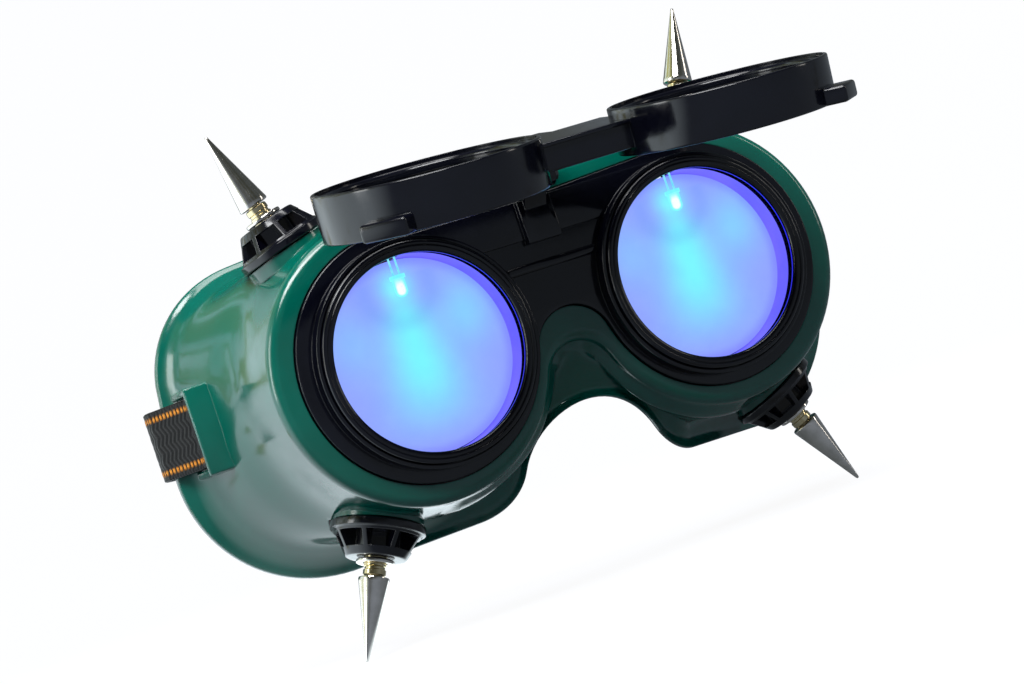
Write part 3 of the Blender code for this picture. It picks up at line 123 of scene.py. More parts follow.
# ---- Strap lugs and strap ------------------------------------------------------------------------
STRAP_WIDTH = 0.0175
STRAP_THICK = 0.0011
STRAP_BOW = 0.045           # reach of the slack strap behind the temples
STRAP_STRAIGHT = 0.034      # half-length of the straight run at the back
SEWN_FAR = 0.0062           # sewn end behind the bar
SEWN_NEAR = 0.0044
STRAP_PLAY = 0.0004         # extra play between the strap's layers and past the temple
STRAP_CLEAR = 0.0024        # straight run behind the temple, before the strap turns
LUG_RIB = 0.00185
LUG_WALL = 0.0016
LUG_DEPTH = 0.0355
LUG_LENGTH = 0.0125
LUG_SKIN = 0.0006           # how far the lug stands out beyond the strap
LUG_ROOT_RUN = 0.012        # length of the lug's root inside the wall
BAR_THICK = 0.0012
BAR_LENGTH = 0.0022
BAR_OUT = 0.0016            # bar's outer face, outside the foot of the wall
RECESS_RUN = 0.001
RECESS_TAIL = 0.004
RECESS_RISE = 0.0036

# ---- Flip-up frame -------------------------------------------------------------------------------
OPEN_ANGLE = radians(79.4)
CUP_R = LENS_R + 0.0012
CUP_HEIGHT = 0.0112
CUP_SKIRT_WALL = 0.0014
SHADE_THICK = 0.003
FLIP_RING_DEPTH = 0.0009
FLIP_RING_THICK = 0.0021
FLIP_RING_WALL = 0.002
CUP_LEDGE = 0.0012
BRIDGE_FRONT = 0.009        # the bridge panel's reach in front of the rings, closed
BRIDGE_REAR = 0.0023
BRIDGE_WALL = 0.0016
BRIDGE_HALF = 0.020
BRIDGE_LOW_Z = -0.003
BRIDGE_HIGH_Z = 0.027
HINGE_DEPTH = 0.0007
HINGE_RISE = 0.0037         # hinge axis above the plate's top edge
PIN_R = 0.00125
PIN_PLAY = 0.0002
PIN_HOLE_REACH = 0.01
EAR_HALF = 0.0029
KNUCKLE_WIDTH = 0.0024
KNUCKLE_R = 0.003
TAB_WIDTH = 0.011
TAB_THICK = 0.004
TAB_REACH = 0.0043

# ---- Vents and spikes ----------------------------------------------------------------------------
VENT_PLACE = radians(23.6)  # direction of the vents from the centre of the shell's corner
UPPER_TILT = radians(17.0)  # outward tilt from the vertical
UPPER_LEAN = radians(-2.0)  # forward lean
LOWER_TILT = radians(26.0)
LOWER_LEAN = radians(4.5)
VENT_DEPTH = 0.025
VENT_RIM_R = 0.0115
VENT_RIM = 0.002
VENT_STEP = 0.0007          # step from the rim to the cone, and border of the windows
VENT_TOP_R = 0.00725
VENT_HEIGHT = 0.0082
VENT_WALL = 0.0012
VENT_WINDOWS = 8
VENT_RIB = 0.0011           # width of the ribs between the windows
BAFFLE_WALL = 0.0011        # inner tube behind the windows
NECK_R = 0.007
NECK_LENGTH = 0.005
BOSS_DEPTH = 0.0035         # thickness of the shell's boss under a vent
SCREW_HEAD_R = 0.0036
SCREW_HEAD = 0.0017
SCREW_SHANK_R = 0.00275
SCREW_THREAD_R = 0.0015
SCREW_THREAD = 0.005
COLLAR_R = 0.00465
COLLAR_THICK = 0.001
SPIKE_STANDOFF = 0.0029     # neck left showing between the collar and the spike
SPIKE_BASE_R = 0.00375
SPIKE_TIP_R = 0.0004
SPIKE_LENGTH = 0.020

# ---- Lamps and power -----------------------------------------------------------------------------
LED_R = 0.0015
LED_FLANGE_R = 0.0019
LED_FLANGE_Z = 0.0195
LED_LENGTH = 0.0053
LED_SETBACK = 0.0022        # lamp's axis behind the front of the tube
LEAD_TAIL = 0.0022          # lead's reach behind the tube
LEAD = 0.0005
LEAD_HALF_PITCH = 0.0008
CHANNEL_HALF = 0.0016
CHANNEL_TOP = 0.0006        # height of the wiring channel above the tube

# ---- Strap slider --------------------------------------------------------------------------------
SLIDER_HALF = 0.008
SLIDER_RAIL = 0.0024
SLIDER_BAR = 0.0012
SLIDER_REST_X = 0.010

PLATE_TOP_Z = PLATE_R - PLATE_TOP_DROP
HINGE_Z = PLATE_TOP_Z + HINGE_RISE
KNUCKLE_IN = EAR_HALF + GAP
KNUCKLE_OUT = KNUCKLE_IN + KNUCKLE_WIDTH
BAFFLE_IN_R = SCREW_HEAD_R + 0.0009
BAFFLE_OUT_R = BAFFLE_IN_R + BAFFLE_WALL
OVERRUN = 0.001             # how far a cutter runs past the surface it opens


# ---- Solids --------------------------------------------------------------------------------------
def mesh_object(name, verts, faces):
    """A closed mesh object with its faces pointing out."""
    bm = bmesh.new()
    points = [bm.verts.new(v) for v in verts]
    for face in faces:
        bm.faces.new([points[i] for i in face])
    bmesh.ops.recalc_face_normals(bm, faces=bm.faces)
    mesh = bpy.data.meshes.new(name)
    bm.to_mesh(mesh)
    bm.free()
    obj = bpy.data.objects.new(name, mesh)
    bpy.context.collection.objects.link(obj)
    return obj


def weld(mesh):
    """Merge the near-coincident points that a Boolean leaves."""
    bm = bmesh.new()
    bm.from_mesh(mesh)
    bmesh.ops.remove_doubles(bm, verts=bm.verts, dist=WELD)
    bmesh.ops.dissolve_degenerate(bm, edges=bm.edges, dist=WELD)
    bm.to_mesh(mesh)
    bm.free()


def combine(target, tool, operation):
    """Apply an exact Boolean to the target and drop the tool."""
    modifier = target.modifiers.new(operation, "BOOLEAN")
    modifier.operation = operation
    modifier.solver = "EXACT"
    modifier.object = tool
    bpy.context.view_layer.update()
    graph = bpy.context.evaluated_depsgraph_get()
    result = bpy.data.meshes.new_from_object(target.evaluated_get(graph))
    target.modifiers.clear()
    target.data = result
    bpy.data.objects.remove(tool, do_unlink=True)
    weld(result)
    return target


def in_triangles(obj):
    """Split a body's large faces, so that the next Booleans meet flat ones only."""
    mesh = bmesh.new()
    mesh.from_mesh(obj.data)
    bmesh.ops.triangulate(mesh, faces=mesh.faces[:])
    mesh.to_mesh(obj.data)
    mesh.free()


def join(target, *tools):
    """Unite solids with the target."""
    for tool in tools:
        combine(target, tool, "UNION")
    return target


def cut(target, *tools):
    """Take solids away from the target."""
    for tool in tools:
        combine(target, tool, "DIFFERENCE")
    return target


def at(x, depth, z):
    """A point given by its depth behind the eye rings' front plane."""
    return Vector((x, depth - TEMPLE_DEPTH, z))


def block(name, x_range, depth_range, z_range):
    """A box between two corners, in depth coordinates."""
    verts = [at(x, d, z) for x in x_range for d in depth_range for z in z_range]
    faces = [(0, 1, 3, 2), (4, 6, 7, 5), (0, 4, 5, 1), (2, 3, 7, 6), (0, 2, 6, 4), (1, 5, 7, 3)]
    return mesh_object(name, verts, faces)


def turned(name, profile, segments, closed):
    """Turn a profile of (radius, height) about local Z. A closed profile makes a ring."""
    verts = []
    loops = []
    for radius, height in profile:
        if radius == 0.0:
            verts.append((0.0, 0.0, height))
            loops.append([len(verts) - 1] * segments)
            continue
        first = len(verts)
        for i in range(segments):
            angle = 2 * pi * i / segments
            verts.append((radius * cos(angle), radius * sin(angle), height))
        loops.append(list(range(first, first + segments)))
    pairs = list(zip(loops, loops[1:]))
    if closed:
        pairs.append((loops[-1], loops[0]))
    faces = []
    for low, high in pairs:
        for i in range(segments):
            j = (i + 1) % segments
            corners = [low[i], low[j], high[j], high[i]]
            faces.append(list(dict.fromkeys(corners)))
    if not closed:
        faces += [loop for loop in (loops[0], loops[-1]) if len(set(loop)) == segments]
    return mesh_object(name, verts, faces)


def face_front(obj, x, z=0.0):
    """Stand a turned piece on an eye axis, its heights read as depths."""
    obj.data.transform(Matrix.Translation(at(x, 0.0, z)) @ Matrix.Rotation(radians(-90), 4, "X"))
    return obj


def prism(name, outline, x_range):
    """Extrude a (depth, z) outline along X."""
    count = len(outline)
    verts = [at(x, d, z) for x in x_range for d, z in outline]
    faces = [list(range(count)), list(range(count, 2 * count))]
    faces += [(i, (i + 1) % count, (i + 1) % count + count, i + count) for i in range(count)]
    return mesh_object(name, verts, faces)


def mix(a, b, t):
    """The value part of the way from one to another."""
    return a + (b - a) * t


def smooth_step(t):
    """Ease from 0 to 1, flat at both ends."""
    t = min(max(t, 0.0), 1.0)
    return t * t * (3 - 2 * t)


# ---- Outlines ------------------------------------------------------------------------------------
# An outline is (top z, corner lobe, cheek lobe, nose lobe, notch z) with lobes as (x, z, radius).
PLATE_LOBE = (EYE_X + PLATE_SHIFT, 0.0, PLATE_R)
PLATE = (PLATE_TOP_Z, PLATE_LOBE, PLATE_LOBE, PLATE_LOBE, PLATE_NOTCH_Z)
FACE_LOBE = (EYE_X + PLATE_SHIFT + FACE_SHIFT, 0.0, FACE_R)
FACE = (FACE_R - FACE_TOP_DROP, FACE_LOBE, FACE_LOBE, FACE_LOBE, PLATE_NOTCH_Z - FACE_NOTCH_DROP)
# The wall's foot and the flange widen from the face's lobe towards the temples and cheeks.
WALL_FOOT = (
    FACE_R + 0.0044,
    (FACE_LOBE[0] + 0.0191, 0.008, FACE_R - 0.0101),
    (FACE_LOBE[0] + 0.0161, -0.009, FACE_R - 0.0076),
    (FACE_LOBE[0] - 0.0094, -0.0255, FACE_R - 0.0246),
    PLATE_NOTCH_Z - 0.0181,
)
FLANGE = (
    FACE_R + 0.0069,
    (FACE_LOBE[0] + 0.0216, 0.009, FACE_R - 0.0071),
    (FACE_LOBE[0] + 0.0181, -0.010, FACE_R - 0.0014),
    (FACE_LOBE[0] - 0.0094, -0.0285, FACE_R - 0.0211),
    PLATE_NOTCH_Z - 0.0229,
)


def inset(outline, amount):
    """Shrink an outline by an amount all round."""
    top, corner, cheek, nose, notch = outline
    lobes = [(x, z, r - amount) for x, z, r in (corner, cheek, nose)]
    return (top - amount, *lobes, notch + amount)


def blend(first, second, t):
    """An outline part of the way from one to another."""
    lobes = [tuple(mix(a, b, t) for a, b in zip(p, q)) for p, q in zip(first[1:4], second[1:4])]
    return (mix(first[0], second[0], t), *lobes, mix(first[4], second[4], t))


def tangent_angle(first, second, side):
    """Direction of the normal that two lobes share, on one side of them."""
    dx, dz = second[0] - first[0], second[1] - first[1]
    return atan2(dz, dx) + side * acos((first[2] - second[2]) / sqrt(dx * dx + dz * dz))


TEMPLE_TURN = tangent_angle(FLANGE[1], FLANGE[2], 1)
CHIN_TURN = tangent_angle(FLANGE[2], FLANGE[3], 1)
HALF_STEPS = (15, 21, 27, 18, 12)


def half_outline(outline):
    """Points (x, z) down one side, from the top centre to the nose notch."""
    top, corner, cheek, nose, notch = outline
    reach = sqrt(corner[0] ** 2 + (top - corner[1]) ** 2)
    start = atan2(top - corner[1], -corner[0]) - acos(corner[2] / reach)
    drop = nose[1] - notch
    notch_r = (nose[0] ** 2 + drop ** 2 - nose[2] ** 2) / (2 * (nose[2] - drop))
    bridge = atan2(notch - notch_r - nose[1], -nose[0])
    top_n, corner_n, cheek_n, nose_n, notch_n = HALF_STEPS
    first = (corner[0] + corner[2] * cos(start), corner[1] + corner[2] * sin(start))
    points = [(first[0] * i / top_n, mix(top, first[1], i / top_n)) for i in range(top_n)]
    for lobe, a, b, n in ((corner, start, TEMPLE_TURN, corner_n), (cheek, TEMPLE_TURN, CHIN_TURN, cheek_n),
                          (nose, CHIN_TURN, bridge, nose_n)):
        for i in range(n):
            angle = mix(a, b, i / n)
            points.append((lobe[0] + lobe[2] * cos(angle), lobe[1] + lobe[2] * sin(angle)))
    for i in range(notch_n + 1):
        angle = mix(bridge + pi, pi / 2, i / notch_n)
        points.append((notch_r * cos(angle), notch - notch_r + notch_r * sin(angle)))
    return points


def full_outline(outline):
    """The whole outline, clockwise seen from the front, starting at the top centre."""
    half = half_outline(outline)
    return half + [(-x, z) for x, z in reversed(half[1:-1])]


def rear_depth(x, z):
    """Depth of the flange's rear edge: it follows the face round to the temples."""
    fall = 1 - exp(-((x / FACE_CURVE) ** 2))
    centre = mix(NOSE_DEPTH, BROW_DEPTH, smooth_step(0.5 + z / FACE_TURN))
    return mix(centre, TEMPLE_DEPTH, fall)


FLANGE_DEPTHS = [rear_depth(x, z) for x, z in full_outline(FLANGE)]


def section(outline, share, offset=0.0, flat=None):
    """One loop of a loft: at a share of the way back to the flange, or at a flat depth."""
    loop = []
    for (x, z), rear in zip(full_outline(outline), FLANGE_DEPTHS):
        depth = mix(SHELL_DEPTH, rear, share) + offset if flat is None else flat
        loop.append(at(x, depth, z))
    return loop


def cap(loop, first):
    """Triangles that close a loop, worked out on its front view."""
    flat = [Vector((point.x, point.z, 0.0)) for point in loop]
    return [tuple(first + i for i in triangle) for triangle in tessellate_polygon([flat])]


def loft(name, loops):
    """Skin a row of loops and close both ends."""
    count = len(loops[0])
    verts = [point for loop in loops for point in loop]
    faces = []
    for k in range(len(loops) - 1):
        for i in range(count):
            j = (i + 1) % count
            faces.append((k * count + i, k * count + j, (k + 1) * count + j, (k + 1) * count + i))
    faces += cap(loops[0], 0) + cap(loops[-1], (len(loops) - 1) * count)
    return mesh_object(name, verts, faces)


# ---- Finer stations for the lofted shapes --------------------------------------------------------
def spread(loops, steps):
    """Smooth stations between the given ones, as a Catmull-Rom spline through each point."""
    keys = [np.array([tuple(p) for p in loop]) for loop in loops]
    ends = [2 * keys[0] - keys[1], *keys, 2 * keys[-1] - keys[-2]]
    out = []
    for p, q, r, s in zip(ends, ends[1:], ends[2:], ends[3:]):
        for i in range(steps):
            t = i / steps
            out.append(0.5 * (2 * q + (r - p) * t + (2 * p - 5 * q + 4 * r - s) * t ** 2
                              + (3 * q - p - 3 * r + s) * t ** 3))
    out.append(keys[-1])
    return [[Vector(point) for point in loop] for loop in out]


def smooth(obj, degrees=32):
    """Shade smooth, with edges sharper than an angle left crisp."""
    obj.data.shade_smooth()
    obj.data.set_sharp_from_angle(angle=radians(degrees))
    return obj


def rounded_block(name, x_range, depth_range, z_range, radius, segments=3):
    """A box with every edge rounded."""
    obj = block(name, x_range, depth_range, z_range)
    bm = bmesh.new()
    bm.from_mesh(obj.data)
    bmesh.ops.bevel(bm, geom=bm.edges, offset=radius, segments=segments, profile=0.5, affect="EDGES")
    bm.to_mesh(obj.data)
    bm.free()
    return obj


def fillet(points, radius, steps=4, closed=True):
    """Round the corners of a (radius, height) profile that aren't on the axis."""
    count = len(points)
    out = []
    for i, (r, h) in enumerate(points):
        if r == 0.0 or (not closed and i in (0, count - 1)):
            out.append((r, h))
            continue
        here = Vector((r, h))
        before = Vector(points[i - 1]) - here
        after = Vector(points[(i + 1) % count]) - here
        if before.length < 1e-7 or after.length < 1e-7 or abs(before.angle(after) - pi) < 0.25:
            out.append((r, h))
            continue
        reach = min(radius, before.length * 0.45, after.length * 0.45)
        a, b = here + before.normalized() * reach, here + after.normalized() * reach
        for k in range(steps + 1):
            t = k / steps
            point = a * (1 - t) ** 2 + here * 2 * t * (1 - t) + b * t * t
            out.append((point.x, point.y))
    return out


# ---- Face shell ----------------------------------------------------------------------------------
MIDDLE = inset(FACE, -WALL_SWELL)
OPENING = inset(PLATE, -GAP)


def wall_share(t):
    return t * WALL_END


def round_edge(outline, radius, share, start, steps=6):
    """Quarter-round stations from a flat face to the side."""
    loops = []
    for i in range(steps):
        angle = pi / 2 * i / steps
        loops.append(section(inset(outline, radius * (1 - sin(angle))), share,
                             offset=start + radius * (1 - cos(angle))))
    return loops


def shell_block():
    """The shell's outer form, with its face edge rounded and its flange flared."""
    edge = round_edge(FACE, EDGE_ROUND, 0.0, 0.0)
    wall = spread([
        section(FACE, 0.0, offset=EDGE_ROUND),
        section(MIDDLE, wall_share(0.5)),
        section(blend(MIDDLE, WALL_FOOT, 0.6), wall_share(0.8)),
        section(WALL_FOOT, wall_share(1.0)),
        section(blend(WALL_FOOT, FLANGE, 0.28), mix(WALL_END, 1.0, 0.36)),
        section(blend(WALL_FOOT, FLANGE, 0.62), mix(WALL_END, 1.0, 0.62)),
        section(inset(FLANGE, 0.0002), 1.0, offset=-FLANGE_EDGE),
    ], 7)
    lip = [
        section(inset(FLANGE, 0.00002), 1.0, offset=-FLANGE_EDGE * 0.8),
        section(FLANGE, 1.0, offset=-FLANGE_EDGE * 0.5),
        section(FLANGE, 1.0, offset=-0.0006),
        section(inset(FLANGE, 0.0002), 1.0, offset=-0.0002),
        section(inset(FLANGE, 0.0007), 1.0),
        section(inset(FLANGE, FLANGE_WIDTH + 0.0015), 1.0, offset=-0.0006),
    ]
    return loft("face_shell_skin", edge + wall + lip)


def shell_cavity():
    """The hollow of the shell, from the plate opening to behind the flange."""
    face_inside = inset(FACE, SHELL_WALL + 0.0002)
    wall = spread([
        section(inset(face_inside, 0.0004), 0.0, flat=SHELL_DEPTH + SHELL_WALL + 0.0012),
        section(inset(MIDDLE, SHELL_WALL), wall_share(0.5), offset=0.0004),
        section(inset(blend(MIDDLE, WALL_FOOT, 0.6), SHELL_WALL), wall_share(0.8), offset=0.0004),
        section(inset(WALL_FOOT, SHELL_WALL), wall_share(1.0), offset=0.0006),
        section(inset(FLANGE, FLANGE_WIDTH + 0.0005), 1.0, offset=-0.0014),
    ], 6)
    loops = [
        section(OPENING, 0.0, flat=SHELL_DEPTH - SHELL_WALL),
        section(OPENING, 0.0, flat=SHELL_DEPTH + SHELL_WALL),
        section(inset(face_inside, 0.0016), 0.0, flat=SHELL_DEPTH + SHELL_WALL),
    ]
    last = section(inset(FLANGE, FLANGE_WIDTH), 0.0, flat=TEMPLE_DEPTH + 0.012)
    return loft("cavity", loops + wall + [last])


# The strap's layers and the lug's bar, as distances from the mid-plane.
TEMPLE_X = max(x for x, _ in full_outline(FLANGE))
STRAP_EDGE_X = TEMPLE_X + GAP + STRAP_THICK / 2 + STRAP_PLAY
LUG_ROOT_X = WALL_FOOT[2][0] + WALL_FOOT[2][2]
BAR_X = LUG_ROOT_X + BAR_OUT
BAR_DEPTH = LUG_DEPTH + LUG_WALL + STRAP_THICK + 3 * GAP
BAR_MID_X = BAR_X - BAR_THICK / 2
OUTER_RUN_X = BAR_X + GAP + STRAP_THICK / 2
LUG_OUTER_X = OUTER_RUN_X + STRAP_THICK / 2 + LUG_SKIN
LUG_HALF = STRAP_WIDTH / 2 + GAP


def upright_prism(name, outline, half):
    """Extrude an (x, depth) outline along Z, to half a height each way."""
    count = len(outline)
    verts = [at(x, depth, z) for z in (-half, half) for x, depth in outline]
    faces = [list(range(count)), list(range(count, 2 * count))]
    faces += [(i, (i + 1) % count, (i + 1) % count + count, i + count) for i in range(count)]
    return mesh_object(name, verts, faces)


def lug_bar(side, half):
    """The round-edged bar that the strap goes round."""
    radius = BAR_THICK / 2
    steps = 12
    front, rear = BAR_DEPTH + radius, BAR_DEPTH + BAR_LENGTH - radius
    outline = []
    for centre, start in ((rear, 0.0), (front, pi)):
        for i in range(steps + 1):
            angle = start + pi * i / steps
            outline.append((side * (BAR_MID_X + radius * cos(angle)), centre + radius * sin(angle)))
    return upright_prism("bar", outline, half)


def strap_lug(side):
    """Two ribs, a front wall and a bar, rooted in the side wall."""
    inner = LUG_ROOT_X - LUG_ROOT_RUN
    rear = LUG_DEPTH + LUG_LENGTH
    span = sorted((side * inner, side * LUG_OUTER_X))
    top = LUG_HALF + LUG_RIB
    soft = 0.0006
    lug = rounded_block("lug", span, (LUG_DEPTH, LUG_DEPTH + LUG_WALL), (-top, top), soft)
    join(
        lug,
        rounded_block("rib", span, (LUG_DEPTH + 0.0001, rear), (LUG_HALF, top - 0.00002), soft),
        rounded_block("rib", span, (LUG_DEPTH + 0.0001, rear), (-top + 0.00002, -LUG_HALF), soft),
        lug_bar(side, LUG_HALF + LUG_RIB / 2),
    )
    return lug


def vent_frames():
    """Name, base centre and outward direction of each vent."""
    centre_x = MIDDLE[1][0]
    radius = MIDDLE[1][2]
    depth_share = (VENT_DEPTH - SHELL_DEPTH) / (TEMPLE_DEPTH - SHELL_DEPTH)
    radius -= WALL_SWELL * (1 - min(1.0, depth_share / wall_share(0.5)))
    frames = []
    rows = (("upper", 1, UPPER_TILT, UPPER_LEAN), ("lower", -1, LOWER_TILT, LOWER_LEAN))
    for level, up, tilt, lean in rows:
        for name, side in (("L", -1), ("R", 1)):
            out = Vector((side * sin(tilt), -sin(lean), up * cos(tilt))).normalized()
            wall = at(side * centre_x, VENT_DEPTH, 0.0)
            wall += radius * Vector((side * sin(VENT_PLACE), 0.0, up * cos(VENT_PLACE)))
            frames.append((level + "_" + name, wall + out * GAP, out))
    return frames


def along(base, out):
    """Matrix that stands local Z on a direction at a base point."""
    return Matrix.Translation(base) @ out.to_track_quat("Z", "Y").to_matrix().to_4x4()


def rod(name, base, out, radius, low, high, segments=SMALL_SEGMENTS):
    """A plain cylinder on a direction, used as a seat or a cutter."""
    obj = turned(name, [(0.0, low), (radius, low), (radius, high), (0.0, high)], segments, False)
    obj.data.transform(along(base, out))
    return obj


def vent_seat(base, out):
    """Cutter for a vent: a flat seat under the rim and a hole for the neck."""
    seat_r = VENT_RIM_R + GAP
    hole_r = NECK_R + GAP
    deep = BOSS_DEPTH + SHELL_WALL * 3
    over = SHELL_WALL * 2
    profile = [(0.0, -deep), (hole_r, -deep), (hole_r, -GAP), (seat_r, -GAP), (seat_r, over), (0.0, over)]
    cutter = turned("vent_seat", profile, SMALL_SEGMENTS, False)
    cutter.data.transform(along(base, out))
    return cutter


def strap_recess(side):
    """Cutter that lets the strap pass between the bar and the wall."""
    floor_x = BAR_X - BAR_THICK - 2 * GAP - STRAP_THICK
    front, bend = LUG_DEPTH + LUG_WALL / 2, BAR_DEPTH + BAR_LENGTH + RECESS_RUN
    foot = SHELL_DEPTH + (TEMPLE_DEPTH - SHELL_DEPTH) * WALL_END + RECESS_TAIL
    far = LUG_OUTER_X + STRAP_THICK
    outline = [(floor_x, front), (floor_x, bend), (floor_x + RECESS_RISE, foot), (far, foot), (far, front)]
    half = LUG_HALF + LUG_RIB / 2
    return upright_prism("recess", [(side * x, depth) for x, depth in outline], half)


def face_shell():
    """The vinyl shell with its lugs, strap recesses and vent seats."""
    shell = shell_block()
    cut(shell, strap_recess(-1), strap_recess(1))
    join(shell, strap_lug(-1), strap_lug(1))
    cut(shell, shell_cavity())
    in_triangles(shell)
    for _, base, out in vent_frames():
        join(shell, rod("boss", base, out, VENT_RIM_R - VENT_STEP, -BOSS_DEPTH, GAP))
        cut(shell, vent_seat(base, out))
    return smooth(shell, 38)


# ---- Front plate ---------------------------------------------------------------------------------
def hinge_ear():
    """The plate's ear, rounded about the hinge axis."""
    outline = [(BARREL_DEPTH + 0.0014, PLATE_TOP_Z - 0.003)]
    steps = 24
    for i in range(steps + 1):
        angle = mix(pi + 0.35, -0.6, i / steps)
        outline.append((HINGE_DEPTH + EAR_HALF * cos(angle), HINGE_Z + EAR_HALF * sin(angle)))
    outline.append((PLATE_DEPTH + 0.0002, PLATE_TOP_Z - GAP))
    outline.append((PLATE_DEPTH + 0.0005, PLATE_TOP_Z - 0.003))
    return prism("ear", outline, (-EAR_HALF, EAR_HALF))


def x_rod(name, radius, low, high, segments=TINY_SEGMENTS):
    """A cylinder on the hinge axis."""
    return rod(name, at(0.0, HINGE_DEPTH, HINGE_Z), Vector((1, 0, 0)), radius, low, high, segments)


def front_plate():
    """The plate with its raised panel, ridge, block, ear, barrels and tubes."""
    soft = 0.0003
    loops = round_edge(PLATE, soft, 0.0, PLATE_DEPTH - SHELL_DEPTH, 4) + [
        section(PLATE, 0.0, flat=PLATE_DEPTH + soft),
        section(PLATE, 0.0, flat=SHELL_DEPTH + SHELL_WALL + GAP),
        section(inset(PLATE, -PLATE_FLANGE), 0.0, flat=SHELL_DEPTH + SHELL_WALL + GAP),
        section(inset(PLATE, -PLATE_FLANGE), 0.0, flat=PLATE_REAR_DEPTH),
    ]
    plate = loft("front_plate_skin", loops)
    inside = PLATE_DEPTH + 0.0012
    panel_x = PLATE_LOBE[0] - 0.003
    join(
        plate,
        rounded_block("panel", (-panel_x, panel_x), (PLATE_DEPTH - PANEL_STEP, inside),
                      (PANEL_STEP_Z, PLATE_TOP_Z - GAP), 0.0002),
        rounded_block("ridge", (-RIDGE_HALF, RIDGE_HALF), (PLATE_DEPTH - RIDGE_PROUD, inside),
                      (RIDGE_Z, RIDGE_Z + RIDGE_HEIGHT), 0.0005),
        rounded_block("block", (-BLOCK_HALF, BLOCK_HALF), (PLATE_DEPTH - BLOCK_PROUD, inside),
                      (PANEL_STEP_Z - 0.0013, PLATE_TOP_Z - 2 * GAP), 0.0003),
        hinge_ear(),
    )
    rooted = PLATE_DEPTH + OVERRUN
    past_end = TUBE_END_DEPTH + OVERRUN
    barrel = fillet([(0.0, BARREL_DEPTH), (BARREL_OUTER_R, BARREL_DEPTH), (BARREL_OUTER_R, rooted),
                     (TUBE_OUTER_R, rooted), (TUBE_OUTER_R, TUBE_END_DEPTH),
                     (0.0, TUBE_END_DEPTH)], soft, closed=False)
    bore = [(0.0, -OVERRUN), (TUBE_INNER_R, -OVERRUN), (TUBE_INNER_R, TUBE_STEP_DEPTH),
            (TUBE_STEP_R, TUBE_STEP_DEPTH), (TUBE_STEP_R, past_end), (0.0, past_end)]
    groove_r = RING_OUTER_R + GAP
    groove = [(0.0, -OVERRUN), (groove_r, -OVERRUN), (groove_r, PLATE_DEPTH),
              (TUBE_OUTER_R, PLATE_DEPTH), (TUBE_OUTER_R, TUBE_FRONT_DEPTH), (0.0, TUBE_FRONT_DEPTH)]
    for x in (-EYE_X, EYE_X):
        join(plate, face_front(turned("barrel", barrel, RING_SEGMENTS, False), x))
        cut(
            plate,
            face_front(turned("groove", groove, RING_SEGMENTS, False), x),
            face_front(turned("bore", bore, RING_SEGMENTS, False), x),
            block("channel", (x - CHANNEL_HALF, x + CHANNEL_HALF), (PLATE_DEPTH + GAP, past_end),
                  (TUBE_STEP_R - 0.002, TUBE_OUTER_R + CHANNEL_TOP)),
        )
    cut(plate, x_rod("pin_hole", PIN_R + PIN_PLAY, -PIN_HOLE_REACH, PIN_HOLE_REACH))
    return smooth(plate, 38)


def lit_wall(obj, x):
    """The faces of the lamp chamber's wall, on one eye."""
    centre = at(x, 0.0, 0.0)
    found = []
    for face in obj.data.polygons:
        away = face.center - centre
        radius = sqrt(away.x ** 2 + away.z ** 2)
        if abs(radius - TUBE_INNER_R) < 0.0002 and away.y < DIFFUSER_DEPTH:
            found.append(face.index)
    return found


def eye_ring(name, x):
    """Lip over the lens, a chamfer, a fine turned line, a crowned face and the skirt."""
    line_r = LENS_R + 0.0001
    profile = [(APERTURE_R, RING_LIP), (APERTURE_R, 0.0011), (APERTURE_R + 0.0002, 0.0006),
               (APERTURE_R + 0.0006, 0.00022), (line_r - 0.0003, 0.00006), (line_r - 0.00012, 0.00012),
               (line_r, 0.0003), (line_r + 0.00012, 0.00012), (line_r + 0.0003, 0.0),
               (RING_OUTER_R - 0.0005, 0.00005), (RING_OUTER_R - 0.00015, 0.0002), (RING_OUTER_R, 0.0005),
               (RING_OUTER_R, RING_SKIRT), (LENS_R + GAP, RING_SKIRT), (LENS_R + GAP, RING_LIP)]
    ring = face_front(turned(name, profile, RING_SEGMENTS, True), x)
    return smooth(ring, 50)


def disc(name, x, radius, depth, thick, edge):
    """A flat round lens with a ground edge."""
    profile = [(0.0, depth), (radius - edge, depth), (radius - 0.3 * edge, depth + 0.3 * edge),
               (radius, depth + edge), (radius, depth + thick - edge), (radius - edge, depth + thick),
               (0.0, depth + thick)]
    return smooth(face_front(turned(name, profile, RING_SEGMENTS, False), x))


def glow_disc(name, x):
    """The diffuser, meshed finely enough to carry its glow as a colour on its points."""
    radius, rings, segments = TUBE_INNER_R - GAP, 72, RING_SEGMENTS
    profile = [(0.0, DIFFUSER_DEPTH)]
    profile += [(radius * (i + 1) / rings, DIFFUSER_DEPTH) for i in range(rings)]
    profile += [(radius, DIFFUSER_DEPTH + DIFFUSER_THICK), (0.0, DIFFUSER_DEPTH + DIFFUSER_THICK)]
    obj = face_front(turned(name, profile, segments, False), x)
    layer = obj.data.color_attributes.new("glow", "FLOAT_COLOR", "POINT")
    for vert, slot in zip(obj.data.vertices, layer.data):
        slot.color = (*glow_colour((vert.co.x - x) / radius, vert.co.z / radius), 1.0)
    return smooth(obj)
# ---- Flip-up frame -------------------------------------------------------------------------------
CUP_FRONT = -GAP - CUP_HEIGHT
SHADE_DEPTH = CUP_FRONT + FLIP_RING_DEPTH + FLIP_RING_THICK + GAP
LEDGE_DEPTH = SHADE_DEPTH + SHADE_THICK + GAP


